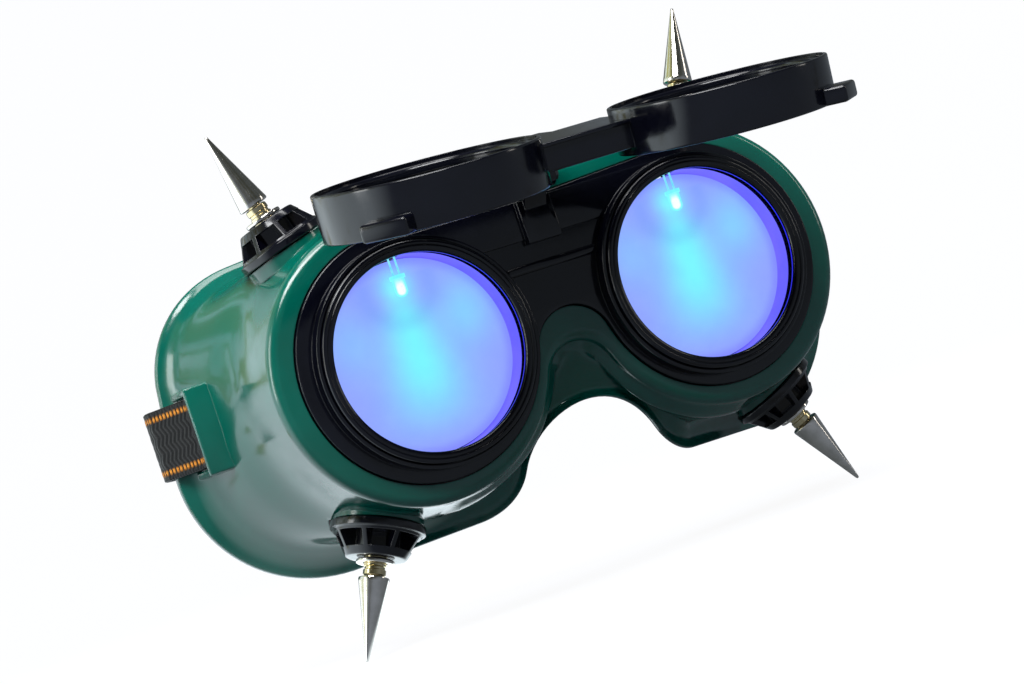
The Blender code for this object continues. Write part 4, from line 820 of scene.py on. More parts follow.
def cup_inside(x):
    """Cutter for one cup: seat of the shade, ledge and skirt."""
    ledge_r = LENS_R - 0.0018
    seat_r = LENS_R + GAP
    skirt_r = CUP_R - CUP_SKIRT_WALL
    ahead = CUP_FRONT - OVERRUN
    profile = [(0.0, ahead), (seat_r, ahead), (seat_r, LEDGE_DEPTH),
               (ledge_r, LEDGE_DEPTH), (ledge_r, LEDGE_DEPTH + CUP_LEDGE),
               (skirt_r, LEDGE_DEPTH + CUP_LEDGE), (skirt_r, OVERRUN), (0.0, OVERRUN)]
    return face_front(turned("inside", profile, RING_SEGMENTS, False), x)


def cup_solid(x):
    """One cup's outer form."""
    profile = fillet([(0.0, CUP_FRONT), (CUP_R, CUP_FRONT), (CUP_R - 0.0002, -GAP), (0.0, -GAP)],
                     0.0005, steps=5, closed=False)
    return face_front(turned("cup", profile, RING_SEGMENTS, False), x)


def lifting_tab(x):
    """The tab on a cup's outer rim."""
    side = 1 if x > 0 else -1
    reach = CUP_R + TAB_REACH
    tab = rounded_block("tab", (CUP_R - 0.002, reach), (-GAP - TAB_THICK, -GAP),
                        (-TAB_WIDTH / 2, TAB_WIDTH / 2), 0.0008, 4)
    turn = radians(-45) if side > 0 else radians(-135)
    tab.data.transform(Matrix.Translation((x, 0.0, 0.0)) @ Matrix.Rotation(-turn, 4, "Y"))
    return tab


def knuckle(side):
    """One of the two hinge knuckles."""
    steps = 20
    outline = [(-BRIDGE_FRONT + 0.0005, HINGE_Z - KNUCKLE_R), (-BRIDGE_FRONT + 0.0005, HINGE_Z + KNUCKLE_R)]
    for i in range(steps + 1):
        angle = mix(pi / 2, -pi / 2, i / steps)
        outline.append((HINGE_DEPTH + KNUCKLE_R * cos(angle), HINGE_Z + KNUCKLE_R * sin(angle)))
    return prism("knuckle", outline, sorted((side * KNUCKLE_IN, side * KNUCKLE_OUT)))


def flip_frame():
    """The bridge panel, tongue, knuckles and both cups, made closed."""
    frame_obj = rounded_block("flip_frame_skin", (-BRIDGE_HALF, BRIDGE_HALF), (-BRIDGE_FRONT, -BRIDGE_REAR),
                              (BRIDGE_LOW_Z, BRIDGE_HIGH_Z), 0.0006)
    hollow = BRIDGE_HALF - BRIDGE_WALL
    cut(frame_obj, block("hollow", (-hollow, hollow), (-BRIDGE_FRONT + BRIDGE_WALL, 0.0),
                         (BRIDGE_LOW_Z + BRIDGE_WALL, BRIDGE_HIGH_Z - BRIDGE_WALL)))
    tongue = KNUCKLE_OUT + 0.0012
    lip = BRIDGE_HALF * 0.6
    join(
        frame_obj,
        rounded_block("tongue", (-tongue, tongue), (-BRIDGE_FRONT, -BRIDGE_FRONT + BRIDGE_WALL),
                      (BRIDGE_HIGH_Z - BRIDGE_WALL, HINGE_Z + KNUCKLE_R), 0.0004),
        rounded_block("lip", (-lip, lip), (-BRIDGE_FRONT, -BRIDGE_FRONT + 0.001),
                      (BRIDGE_LOW_Z - 0.0008, BRIDGE_LOW_Z + 0.0008), 0.0003),
        knuckle(-1),
        knuckle(1),
    )
    for x in (-EYE_X, EYE_X):
        join(frame_obj, cup_solid(x), lifting_tab(x))
    for x in (-EYE_X, EYE_X):
        cut(frame_obj, cup_inside(x))
    cut(frame_obj, x_rod("pin_hole", PIN_R + PIN_PLAY, -PIN_HOLE_REACH, PIN_HOLE_REACH))
    return smooth(frame_obj, 38)


def flip_ring(name, x):
    """Retaining ring of a shade, with a line round its face."""
    front = CUP_FRONT + FLIP_RING_DEPTH
    rear = front + FLIP_RING_THICK
    inner = LENS_R - FLIP_RING_WALL
    profile = fillet([(inner, rear), (inner, front + 0.0006), (inner + 0.0005, front),
                      (LENS_R - 0.0008, front), (LENS_R - 0.0006, front + 0.0002), (LENS_R - 0.0004, front),
                      (LENS_R, front), (LENS_R, rear)], 0.00015, 3)
    return smooth(face_front(turned(name, profile, RING_SEGMENTS, True), x), 50)


def swing_open(obj):
    """Turn a piece made closed to the raised place it has at rest."""
    axis = at(0.0, HINGE_DEPTH, HINGE_Z)
    obj.data.transform(Matrix.Translation(axis) @ Matrix.Rotation(-OPEN_ANGLE, 4, "X")
                       @ Matrix.Translation(-axis))
    return obj


# ---- Vents and spikes ----------------------------------------------------------------------------
def wedge(name, low, high, z_low, z_high, rib):
    """Cutter between two ribs, widening outwards from one radius to another."""
    share = tan(pi / VENT_WINDOWS)
    spare = rib / 2 / cos(pi / VENT_WINDOWS)
    verts = [(r, side * (r * share - spare), z)
             for z in (z_low, z_high) for r, side in ((low, -1), (high, -1), (high, 1), (low, 1))]
    faces = [(0, 1, 2, 3), (4, 5, 6, 7), (0, 1, 5, 4), (1, 2, 6, 5), (2, 3, 7, 6), (3, 0, 4, 7)]
    return mesh_object(name, verts, faces)


def vent_cap(name, base, out):
    """A ribbed cone with windows round an inner tube, its edges rounded."""
    end_plate = VENT_HEIGHT - VENT_WALL
    shoulder_r = VENT_RIM_R - VENT_STEP
    profile = fillet([
        (NECK_R, -NECK_LENGTH), (NECK_R, 0.0), (VENT_RIM_R, 0.0), (VENT_RIM_R, VENT_RIM),
        (shoulder_r, VENT_RIM), (VENT_TOP_R, VENT_HEIGHT), (SCREW_SHANK_R + GAP, VENT_HEIGHT),
        (SCREW_SHANK_R + GAP, end_plate), (BAFFLE_IN_R, end_plate), (BAFFLE_IN_R, -NECK_LENGTH),
    ], 0.0004)
    cap_obj = turned("vent_cap_" + name + "_skin", profile, SMALL_SEGMENTS, True)
    foot = VENT_RIM + VENT_STEP
    for i in range(VENT_WINDOWS):
        turn = Matrix.Rotation(2 * pi * (i + 0.5) / VENT_WINDOWS, 4, "Z")
        window = wedge("window", BAFFLE_OUT_R, VENT_RIM_R * 2, foot, end_plate - VENT_STEP, VENT_RIB)
        window.data.transform(turn)
        cut(cap_obj, window)
    cap_obj.data.transform(along(base, out))
    return smooth(cap_obj, 38)


COLLAR_BASE = VENT_HEIGHT + GAP
NECK_TOP = COLLAR_BASE + COLLAR_THICK + SPIKE_STANDOFF


def heights(obj):
    """Height along its own axis, kept on each point for the turned finish."""
    layer = obj.data.attributes.new("turned_height", "FLOAT", "POINT")
    layer.data.foreach_set("value", [v.co.z for v in obj.data.vertices])


def spike_screw(name, base, out):
    """Headed screw with a waist, from inside the cap into the spike."""
    head_top = VENT_HEIGHT - VENT_WALL - GAP
    waist = (COLLAR_BASE + COLLAR_THICK + NECK_TOP) / 2
    profile = [
        (0.0, head_top - SCREW_HEAD), (SCREW_HEAD_R, head_top - SCREW_HEAD), (SCREW_HEAD_R, head_top),
        (SCREW_SHANK_R, head_top), (SCREW_SHANK_R, waist - 0.0009), (SCREW_SHANK_R - 0.0003, waist - 0.0007),
        (SCREW_SHANK_R - 0.0003, waist - 0.0002), (SCREW_SHANK_R, waist), (SCREW_SHANK_R, NECK_TOP - 0.0003),
        (SCREW_SHANK_R - 0.0003, NECK_TOP), (SCREW_THREAD_R, NECK_TOP),
        (SCREW_THREAD_R, NECK_TOP + SCREW_THREAD), (0.0, NECK_TOP + SCREW_THREAD),
    ]
    screw = turned("spike_screw_" + name + "_skin", profile, TINY_SEGMENTS, False)
    heights(screw)
    screw.data.transform(along(base, out))
    return smooth(screw, 40)


def spike_collar(name, base, out):
    """Rounded collar on the end of the cap."""
    bore = SCREW_SHANK_R + GAP
    profile = fillet([(bore, COLLAR_BASE), (COLLAR_R, COLLAR_BASE), (COLLAR_R, COLLAR_BASE + COLLAR_THICK),
                      (bore, COLLAR_BASE + COLLAR_THICK)], 0.0004, 5)
    collar = turned("spike_collar_" + name + "_skin", profile, SMALL_SEGMENTS, True)
    heights(collar)
    collar.data.transform(along(base, out))
    return smooth(collar, 60)


def spike(name, base, out):
    """A tall cone with a hole in its base."""
    foot = NECK_TOP + GAP
    hole_r = SCREW_THREAD_R + GAP
    hole_top = foot + SCREW_THREAD + 0.0004
    profile = [(0.0, hole_top), (hole_r, hole_top), (hole_r, foot), (SPIKE_BASE_R - 0.0004, foot),
               (SPIKE_BASE_R - 0.0001, foot + 0.0001), (SPIKE_BASE_R, foot + 0.0004)]
    steps = 24
    tip = foot + SPIKE_LENGTH
    for i in range(1, steps):
        t = i / steps
        profile.append((mix(SPIKE_BASE_R, SPIKE_TIP_R, t), mix(foot + 0.0004, tip - 0.0004, t)))
    profile += [(SPIKE_TIP_R, tip - 0.0004), (SPIKE_TIP_R * 0.7, tip - 0.00012), (0.0, tip)]
    cone = turned("spike_" + name + "_skin", profile, SMALL_SEGMENTS, False)
    heights(cone)
    cone.data.transform(along(base, out))
    return smooth(cone, 50)


# ---- Lamps ---------------------------------------------------------------------------------------
LED_DEPTH = TUBE_FRONT_DEPTH + LED_SETBACK
LEAD_Z = TUBE_OUTER_R - ROUND
LEAD_END_DEPTH = TUBE_END_DEPTH + LEAD_TAIL


def led(name, x):
    """The lamp's body and dome, with round leads run out over the diffuser."""
    steps = 12
    profile = [(0.0, LED_FLANGE_Z), (LED_FLANGE_R, LED_FLANGE_Z), (LED_FLANGE_R, LED_FLANGE_Z - 0.0009),
               (LED_R, LED_FLANGE_Z - 0.0009)]
    dome_z = LED_FLANGE_Z - LED_LENGTH + LED_R
    for i in range(steps):
        angle = pi / 2 * i / steps
        profile.append((LED_R * cos(angle), dome_z - LED_R * sin(angle)))
    profile.append((0.0, dome_z - LED_R))
    lamp = turned(name, profile, TINY_SEGMENTS, False)
    lamp.data.transform(Matrix.Translation(at(x, LED_DEPTH, 0.0)))
    return smooth(lamp, 50)


def led_leads(name, x):
    """Both leads, up from the lamp and back over the diffuser."""
    curve = bpy.data.curves.new(name, "CURVE")
    curve.dimensions = "3D"
    curve.bevel_depth = LEAD / 2
    curve.bevel_resolution = 3
    curve.use_fill_caps = True
    for side in (-1, 1):
        lead_x = x + side * LEAD_HALF_PITCH
        bend = 0.0006
        route = [at(lead_x, LED_DEPTH, LED_FLANGE_Z - 0.0004), at(lead_x, LED_DEPTH, LEAD_Z - bend)]
        route += [at(lead_x, LED_DEPTH + bend * (1 - cos(a)), LEAD_Z - bend * (1 - sin(a)))
                  for a in (pi / 8, pi / 4, 3 * pi / 8, pi / 2)]
        route.append(at(lead_x, LEAD_END_DEPTH, LEAD_Z))
        spline = curve.splines.new("POLY")
        spline.points.add(len(route) - 1)
        for slot, point in zip(spline.points, route):
            slot.co = (*point, 1.0)
    obj = bpy.data.objects.new(name, curve)
    bpy.context.collection.objects.link(obj)
    return as_mesh(obj)


def as_mesh(obj):
    """The curve as a plain mesh object."""
    bpy.context.view_layer.update()
    mesh = bpy.data.meshes.new_from_object(obj.evaluated_get(bpy.context.evaluated_depsgraph_get()))
    made = bpy.data.objects.new(obj.name + "_mesh", mesh)
    bpy.context.collection.objects.link(made)
    bpy.data.objects.remove(obj, do_unlink=True)
    return smooth(made, 50)


# ---- Strap and slider ----------------------------------------------------------------------------
STRAP_BACK_DEPTH = TEMPLE_DEPTH + STRAP_BOW
STRAP_STEP = 0.0002
RIB_PITCH = 0.00125
THREAD_Z = 0.0066
THREAD_HALF = 0.00055


def strap_half():
    """Centre line of the strap's right half, from its sewn end round the bar to the back."""
    wrap_r = BAR_THICK / 2 + GAP + STRAP_THICK / 2
    wrap_depth = BAR_DEPTH + BAR_THICK / 2
    bar_end = BAR_DEPTH + BAR_LENGTH
    edge_depth = TEMPLE_DEPTH - FLANGE_EDGE
    slope = (STRAP_EDGE_X - OUTER_RUN_X) / (edge_depth - bar_end)
    layer = (STRAP_THICK + STRAP_PLAY) * sqrt(1 + slope * slope)
    sewn = [bar_end + SEWN_FAR, bar_end + SEWN_NEAR]
    path = [(OUTER_RUN_X + slope * (d - bar_end) - layer, d) for d in sewn]
    path.append((BAR_MID_X - wrap_r + STRAP_THICK, bar_end + 1.5 * STRAP_THICK))
    path.append((BAR_MID_X - wrap_r, bar_end - STRAP_PLAY))
    for i in range(17):
        angle = mix(pi, 2 * pi, i / 16)
        path.append((BAR_MID_X + wrap_r * cos(angle), wrap_depth + wrap_r * sin(angle)))
    path += [(OUTER_RUN_X, bar_end), (STRAP_EDGE_X, edge_depth), (STRAP_EDGE_X + GAP, TEMPLE_DEPTH)]
    start = Vector((STRAP_EDGE_X, TEMPLE_DEPTH + STRAP_CLEAR))
    stop = Vector((STRAP_STRAIGHT, STRAP_BACK_DEPTH))
    pull_a = start + Vector((-0.35, 1.0)) * STRAP_BOW * 0.45
    pull_b = stop + Vector((1.0, 0.0)) * (STRAP_EDGE_X - STRAP_STRAIGHT) * 0.55
    steps = 40
    for i in range(steps + 1):
        t = i / steps
        point = (start * (1 - t) ** 3 + pull_a * 3 * t * (1 - t) ** 2 + pull_b * 3 * t * t * (1 - t)
                 + stop * t ** 3)
        path.append((point.x, point.y))
    return path


def even_path(path, step):
    """The same line with points a step apart, and its length."""
    points = np.array(path)
    lengths = np.concatenate(([0.0], np.cumsum(np.linalg.norm(np.diff(points, axis=0), axis=1))))
    count = int(lengths[-1] / step)
    marks = np.linspace(0.0, lengths[-1], count + 1)
    return np.column_stack([np.interp(marks, lengths, points[:, k]) for k in (0, 1)]), marks


def strap():
    """Woven elastic: zigzag ribs across it, corded edges and two contrast threads."""
    half = strap_half()
    line, marks = even_path(half + [(-x, d) for x, d in reversed(half)], STRAP_STEP)
    tangent = np.gradient(line, axis=0)
    soft = np.ones(9) / 9
    for k in (0, 1):
        tangent[:, k] = np.convolve(np.pad(tangent[:, k], 4, mode="edge"), soft, mode="valid")
    tangent /= np.linalg.norm(tangent, axis=1)[:, None]
    normal = np.column_stack([tangent[:, 1], -tangent[:, 0]])
    across = np.linspace(-1.0, 1.0, 61) * (STRAP_WIDTH / 2 - 0.0001)
    zig = np.abs(((across / 0.0021) % 2.0) - 1.0) * RIB_PITCH * 0.8
    phase = (marks[:, None] + zig[None, :]) / RIB_PITCH
    weave = 0.5 + 0.5 * np.cos(2 * pi * phase)
    cord = np.clip((np.abs(across) - STRAP_WIDTH / 2 + 0.0012) / 0.0006, 0.0, 1.0)[None, :]
    edge_cord = 0.5 + 0.5 * np.cos(2 * pi * marks[:, None] / 0.0008)
    thread = np.clip(1.4 - np.abs(np.abs(across) - THREAD_Z) / THREAD_HALF, 0.0, 1.0)[None, :]
    dash = np.clip(1.6 * np.cos(2 * pi * marks[:, None] / 0.0011) + 0.8, 0.0, 1.0)
    raised = np.clip(weave * (1 - cord) * (1 - thread) + edge_cord * cord + dash * thread, 0.0, 1.0)
    taper = np.clip((STRAP_WIDTH / 2 - np.abs(across)) / 0.0004, 0.25, 1.0)[None, :]
    thick = (STRAP_THICK / 2 - 0.00016 + 0.00015 * raised) * taper
    rows, columns = thick.shape
    verts = []
    for side in (1, -1):
        for i in range(rows):
            for j in range(columns):
                spot = line[i] + normal[i] * side * thick[i, j]
                verts.append(at(spot[0], spot[1], across[j]))
    faces = []
    far = rows * columns
    for i in range(rows - 1):
        for j in range(columns - 1):
            a, b = i * columns + j, (i + 1) * columns + j
            faces.append((a, a + 1, b + 1, b))
            faces.append((far + a, far + b, far + b + 1, far + a + 1))
        for j, turn in ((0, 1), (columns - 1, -1)):
            a, b = i * columns + j, (i + 1) * columns + j
            faces.append((a, b, far + b, far + a)[::turn])
    for i, turn in ((0, -1), (rows - 1, 1)):
        for j in range(columns - 1):
            a = i * columns + j
            faces.append((a, a + 1, far + a + 1, far + a)[::turn])
    mesh = bpy.data.meshes.new("strap_webbing")
    mesh.from_pydata(verts, [], faces)
    layer = mesh.color_attributes.new("yarn", "FLOAT_COLOR", "POINT")
    colours = np.ones((2, rows, columns, 4), np.float32)
    colours[..., 0] = (thread * dash)[None]
    colours[..., 1] = raised[None]
    colours[..., 2] = 0.0
    layer.data.foreach_set("color", colours.ravel())
    obj = bpy.data.objects.new("strap_webbing", mesh)
    bpy.context.collection.objects.link(obj)
    mesh.shade_smooth()
    return obj


def strap_slider():
    """Frame of rails, ends and a centre bar round the strap."""
    face = STRAP_THICK / 2 + GAP
    rail_low = STRAP_WIDTH / 2 + GAP
    rail_high = rail_low + SLIDER_RAIL
    deep = face + SLIDER_BAR
    x = SLIDER_REST_X
    ends = (x - SLIDER_HALF, x + SLIDER_HALF)
    depths = (STRAP_BACK_DEPTH - deep, STRAP_BACK_DEPTH + deep)
    height = (-rail_high, rail_high)
    outside = (STRAP_BACK_DEPTH + face, STRAP_BACK_DEPTH + deep)
    slider = rounded_block("strap_slider_skin", ends, depths, (rail_low, rail_high), 0.0005)
    join(
        slider,
        rounded_block("end", (ends[0] + 0.00002, ends[0] + 0.0022), outside, height, 0.0004),
        rounded_block("end", (ends[1] - 0.0022, ends[1] - 0.00002), outside, height, 0.0004),
        rounded_block("centre", (x - 0.0015, x + 0.0015), (depths[0], STRAP_BACK_DEPTH - face), height,
                      0.0004),
        rounded_block("rail", ends, depths, (-rail_high, -rail_low), 0.0005),
    )
    return smooth(slider, 38)
# ---- Materials -----------------------------------------------------------------------------------
class Nodes:
    """A short way to write a node tree."""

    def __init__(self, name):
        self.material = bpy.data.materials.new(name)
        self.material.use_nodes = True
        self.tree = self.material.node_tree
        self.shader = self.tree.nodes["Principled BSDF"]
        self.output = self.tree.nodes["Material Output"]

    def add(self, kind, **values):
        node = self.tree.nodes.new(kind)
        for key, value in values.items():
            if key.startswith("in_"):
                node.inputs[int(key[3:])].default_value = value
            else:
                setattr(node, key, value)
        return node

    def link(self, a, b):
        self.tree.links.new(a, b)

    def feed(self, source, socket):
        """Drive one of the main shader's inputs."""
        self.link(source, self.shader.inputs[socket])

    def set(self, **values):
        for key, value in values.items():
            self.shader.inputs[key.replace("_", " ")].default_value = value

    def place(self):
        return self.add("ShaderNodeTexCoord").outputs["Object"]

    def noise(self, scale, detail=3.0, rough=0.5):
        node = self.add("ShaderNodeTexNoise")
        node.inputs["Scale"].default_value = scale
        node.inputs["Detail"].default_value = detail
        node.inputs["Roughness"].default_value = rough
        self.link(self.place(), node.inputs["Vector"])
        return node.outputs["Fac"]

    def ramp(self, factor, stops):
        node = self.add("ShaderNodeValToRGB")
        while len(node.color_ramp.elements) < len(stops):
            node.color_ramp.elements.new(0.5)
        for slot, (place, colour) in zip(node.color_ramp.elements, stops):
            slot.position = place
            slot.color = (*colour, 1.0) if len(colour) == 3 else colour
        self.link(factor, node.inputs["Fac"])
        return node.outputs["Color"]

    def grey(self, factor, low, high, start=0.3, end=0.7):
        node = self.add("ShaderNodeMapRange")
        for slot, value in zip(node.inputs[1:5], (start, end, low, high)):
            slot.default_value = value
        self.link(factor, node.inputs[0])
        return node.outputs[0]

    def bump(self, height, distance, strength=1.0, base=None):
        node = self.add("ShaderNodeBump")
        node.inputs["Strength"].default_value = strength
        node.inputs["Distance"].default_value = distance
        self.link(height, node.inputs["Height"])
        if base:
            self.link(base, node.inputs["Normal"])
        return node.outputs["Normal"]

    def attribute(self, name):
        return self.add("ShaderNodeAttribute", attribute_name=name)


def soft_edges(m, radius):
    """Rounded edges where solids were cut or joined."""
    node = m.add("ShaderNodeBevel", samples=4)
    node.inputs["Radius"].default_value = radius
    return node.outputs["Normal"]


def vinyl():
    """Glossy green moulded vinyl: mottled colour, slow waves in the gloss, hazy rubbed spots."""
    m = Nodes("green_vinyl_moulded")
    tint = m.ramp(m.noise(55.0, 4.0), [(0.3, (0.0, 0.110, 0.076)), (0.55, (0.0, 0.130, 0.091)),
                                        (0.75, (0.0, 0.148, 0.104))])
    m.feed(tint, "Base Color")
    m.feed(m.grey(m.noise(160.0, 5.0, 0.6), 0.10, 0.20), "Roughness")
    waves = m.bump(m.noise(38.0, 1.0), 0.00035, 0.5, soft_edges(m, 0.0005))
    grain = m.bump(m.noise(1500.0, 2.0), 0.000012, 0.35, waves)
    m.feed(grain, "Normal")
    m.set(IOR=1.53, Subsurface_Weight=0.12, Subsurface_Scale=0.002, Coat_Weight=0.2, Coat_Roughness=0.05)
    m.shader.inputs["Subsurface Radius"].default_value = (0.2, 1.0, 0.7)
    return m.material


def black(name="black_plastic_moulded"):
    """Glossy blue-black moulded plastic, slightly uneven, with fine dust in its gloss."""
    m = Nodes(name)
    tint = m.ramp(m.noise(140.0, 3.0), [(0.3, (0.0016, 0.0018, 0.0050)), (0.7, (0.0026, 0.0030, 0.0075))])
    m.feed(tint, "Base Color")
    m.feed(m.grey(m.noise(620.0, 5.0, 0.6), 0.10, 0.17), "Roughness")
    waves = m.bump(m.noise(60.0, 1.0), 0.00010, 0.35, soft_edges(m, 0.0003))
    m.feed(m.bump(m.noise(2200.0, 2.0), 0.000004, 0.25, waves), "Normal")
    m.set(IOR=1.48)
    return m.material


def metal(name, colours, low, high, groove):
    """Turned and plated metal: fine grooves round it, slight clouding."""
    m = Nodes(name)
    m.feed(m.ramp(m.noise(300.0, 4.0), [(0.35, colours[0]), (0.7, colours[1])]), "Base Color")
    m.set(Metallic=1.0)
    m.feed(m.grey(m.noise(700.0, 4.0, 0.6), low, high), "Roughness")
    height = m.attribute("turned_height").outputs["Fac"]
    turns = m.add("ShaderNodeMath", operation="SINE")
    scale = m.add("ShaderNodeMath", operation="MULTIPLY")
    scale.inputs[1].default_value = 2 * pi / groove
    m.link(height, scale.inputs[0])
    m.link(scale.outputs[0], turns.inputs[0])
    m.feed(m.bump(turns.outputs[0], 0.000004, 0.5), "Normal")
    return m.material


def plain_metal(name, colours, low, high):
    """Stamped metal with brushed streaks."""
    m = Nodes(name)
    streak = m.add("ShaderNodeTexNoise")
    streak.inputs["Scale"].default_value = 260.0
    stretch = m.add("ShaderNodeMapping")
    stretch.inputs["Scale"].default_value = (0.06, 1.0, 3.0)
    m.link(m.place(), stretch.inputs["Vector"])
    m.link(stretch.outputs[0], streak.inputs["Vector"])
    m.feed(m.ramp(streak.outputs["Fac"], [(0.3, colours[0]), (0.7, colours[1])]), "Base Color")
    m.feed(m.grey(streak.outputs["Fac"], low, high), "Roughness")
    m.feed(m.bump(streak.outputs["Fac"], 0.00001, 0.3), "Normal")
    m.set(Metallic=1.0)
    return m.material


def clear_glass():
    """Thin clear cover: see-through, with a coated reflection at a glancing angle and faint dust."""
    m = Nodes("clear_cover_lens")
    through = m.add("ShaderNodeBsdfTransparent")
    through.inputs["Color"].default_value = (0.97, 0.985, 1.0, 1.0)
    gloss = m.add("ShaderNodeBsdfGlossy")
    gloss.inputs["Color"].default_value = (0.9, 0.95, 1.0, 1.0)
    m.link(m.grey(m.noise(500.0, 5.0), 0.02, 0.12), gloss.inputs["Roughness"])
    fresnel = m.add("ShaderNodeFresnel")
    fresnel.inputs["IOR"].default_value = 1.3
    blend_node = m.add("ShaderNodeMixShader")
    m.link(fresnel.outputs[0], blend_node.inputs[0])
    m.link(through.outputs[0], blend_node.inputs[1])
    m.link(gloss.outputs[0], blend_node.inputs[2])
    m.link(blend_node.outputs[0], m.output.inputs["Surface"])
    m.tree.nodes.remove(m.shader)
    return m.material


def shade_glass():
    """Nearly black welding shade with a greenish tint."""
    m = Nodes("dark_shade_glass")
    m.feed(m.ramp(m.noise(90.0), [(0.3, (0.002, 0.006, 0.005)), (0.7, (0.004, 0.010, 0.008))]),
           "Base Color")
    m.feed(m.grey(m.noise(600.0, 5.0), 0.03, 0.10), "Roughness")
    m.set(IOR=1.52, Coat_Weight=0.5, Coat_Roughness=0.02)
    return m.material


def glow_colour(u, w):
    """Glow on the diffuser at a place given in lens radii, right and up from its centre."""
    lamp_w = 0.72
    away = sqrt(u * u + (w - lamp_w) ** 2)
    drop = lamp_w - 0.22 - w
    rim = sqrt(u * u + w * w)
    broad = 0.22 + 0.20 * min(max(drop, 0.0), 1.2)
    beam = exp(-((u / broad) ** 2)) * smooth_step((drop + 0.18) / 0.32)
    beam *= 1 - smooth_step((drop - 0.55) / 0.95)
    side = exp(-((abs(u) - 0.62) / 0.28) ** 2) * exp(-((w - 0.30) / 0.34) ** 2)
    side *= 0.42 if u > 0 else 0.22
    halo = exp(-((away / 0.17) ** 2))
    shadow = exp(-(((away - 0.36) / 0.10) ** 2)) * 0.30 * (1.0 if w < lamp_w + 0.1 else 0.4)
    cyan = min(1.0, 0.95 * beam + side + 0.9 * halo)
    base = Vector((0.31, 0.385, 1.0))
    if rim > 0.88:
        base = base.lerp(Vector((0.23, 0.24, 1.0)), smooth_step((rim - 0.88) / 0.12) * 0.8)
    colour = base.lerp(Vector((0.20, 1.0, 1.0)), cyan)
    dark = Vector((0.16, 0.33, 0.86))
    return tuple(colour.lerp(dark, min(1.0, shadow)))


def glow(strength):
    """Milky diffuser lit by the lamp above it."""
    m = Nodes("lit_diffuser")
    m.feed(m.attribute("glow").outputs["Color"], "Emission Color")
    m.feed(m.grey(m.noise(220.0, 5.0, 0.6), strength * 0.965, strength * 1.02), "Emission Strength")
    m.feed(m.ramp(m.noise(120.0), [(0.3, (0.05, 0.07, 0.16)), (0.7, (0.06, 0.09, 0.2))]),
           "Base Color")
    m.feed(m.grey(m.noise(900.0), 0.35, 0.5), "Roughness")
    return m.material


def lit(name, low, high, strength, scale=90.0):
    """A surface that shines with the lamp's light, with slight unevenness."""
    m = Nodes(name)
    m.feed(m.ramp(m.noise(scale, 4.0), [(0.3, low), (0.7, high)]), "Emission Color")
    m.set(Emission_Strength=strength, Roughness=0.3)
    m.shader.inputs["Base Color"].default_value = (0.01, 0.01, 0.03, 1.0)
    return m.material


def lamp():
    """The lamp's body: white at the heart of its dome, cyan towards its edges and flange."""
    m = Nodes("lit_lamp")
    facing = m.add("ShaderNodeLayerWeight")
    facing.inputs["Blend"].default_value = 0.5
    centre = m.grey(facing.outputs["Facing"], 1.0, 0.0, 0.05, 0.45)
    parts = m.add("ShaderNodeSeparateXYZ")
    m.link(m.place(), parts.inputs[0])
    dome = m.grey(parts.outputs[2], 1.0, 0.0, LED_FLANGE_Z - 0.0028, LED_FLANGE_Z - 0.0006)
    heart = m.add("ShaderNodeMath", operation="MULTIPLY")
    m.link(centre, heart.inputs[0])
    m.link(dome, heart.inputs[1])
    m.link(m.ramp(heart.outputs[0], [(0.0, (0.20, 0.93, 1.0)), (0.35, (0.40, 1.0, 1.0)),
                                     (0.8, (1.0, 1.0, 1.0))]), m.shader.inputs["Emission Color"])
    m.feed(m.grey(m.noise(900.0), 1.0, 1.1), "Emission Strength")
    m.shader.inputs["Base Color"].default_value = (0.0, 0.02, 0.03, 1.0)
    m.set(Roughness=0.4)
    return m.material


def webbing():
    """Black elastic yarn with two orange threads, fuzzy sheen and fine fibres."""
    m = Nodes("woven_elastic")
    yarn = m.add("ShaderNodeSeparateColor")
    m.link(m.attribute("yarn").outputs["Color"], yarn.inputs[0])
    fibre = m.noise(2600.0, 3.0)
    dark = m.ramp(fibre, [(0.3, (0.001, 0.001, 0.0012)), (0.75, (0.008, 0.008, 0.009))])
    bright = m.ramp(fibre, [(0.3, (0.85, 0.24, 0.012)), (0.7, (1.0, 0.46, 0.06))])
    mixer = m.add("ShaderNodeMix", data_type="RGBA")
    m.link(yarn.outputs[0], mixer.inputs[0])
    m.link(dark, mixer.inputs[6])
    m.link(bright, mixer.inputs[7])
    m.feed(mixer.outputs[2], "Base Color")
    m.feed(m.grey(yarn.outputs[1], 0.8, 0.42, 0.0, 1.0), "Roughness")
    m.feed(m.bump(fibre, 0.00006, 0.7), "Normal")
    m.set(Sheen_Weight=0.03, Sheen_Roughness=0.4, Specular_IOR_Level=0.25)
    return m.material


def insulation():
    """Red wire insulation, slightly scuffed."""
    m = Nodes("wire_insulation")
    m.feed(m.ramp(m.noise(500.0, 4.0), [(0.3, (0.2, 0.012, 0.01)), (0.7, (0.38, 0.03, 0.02))]),
           "Base Color")
    m.feed(m.grey(m.noise(900.0), 0.35, 0.55), "Roughness")
    m.feed(m.bump(m.noise(1200.0), 0.00001, 0.3), "Normal")
    return m.material


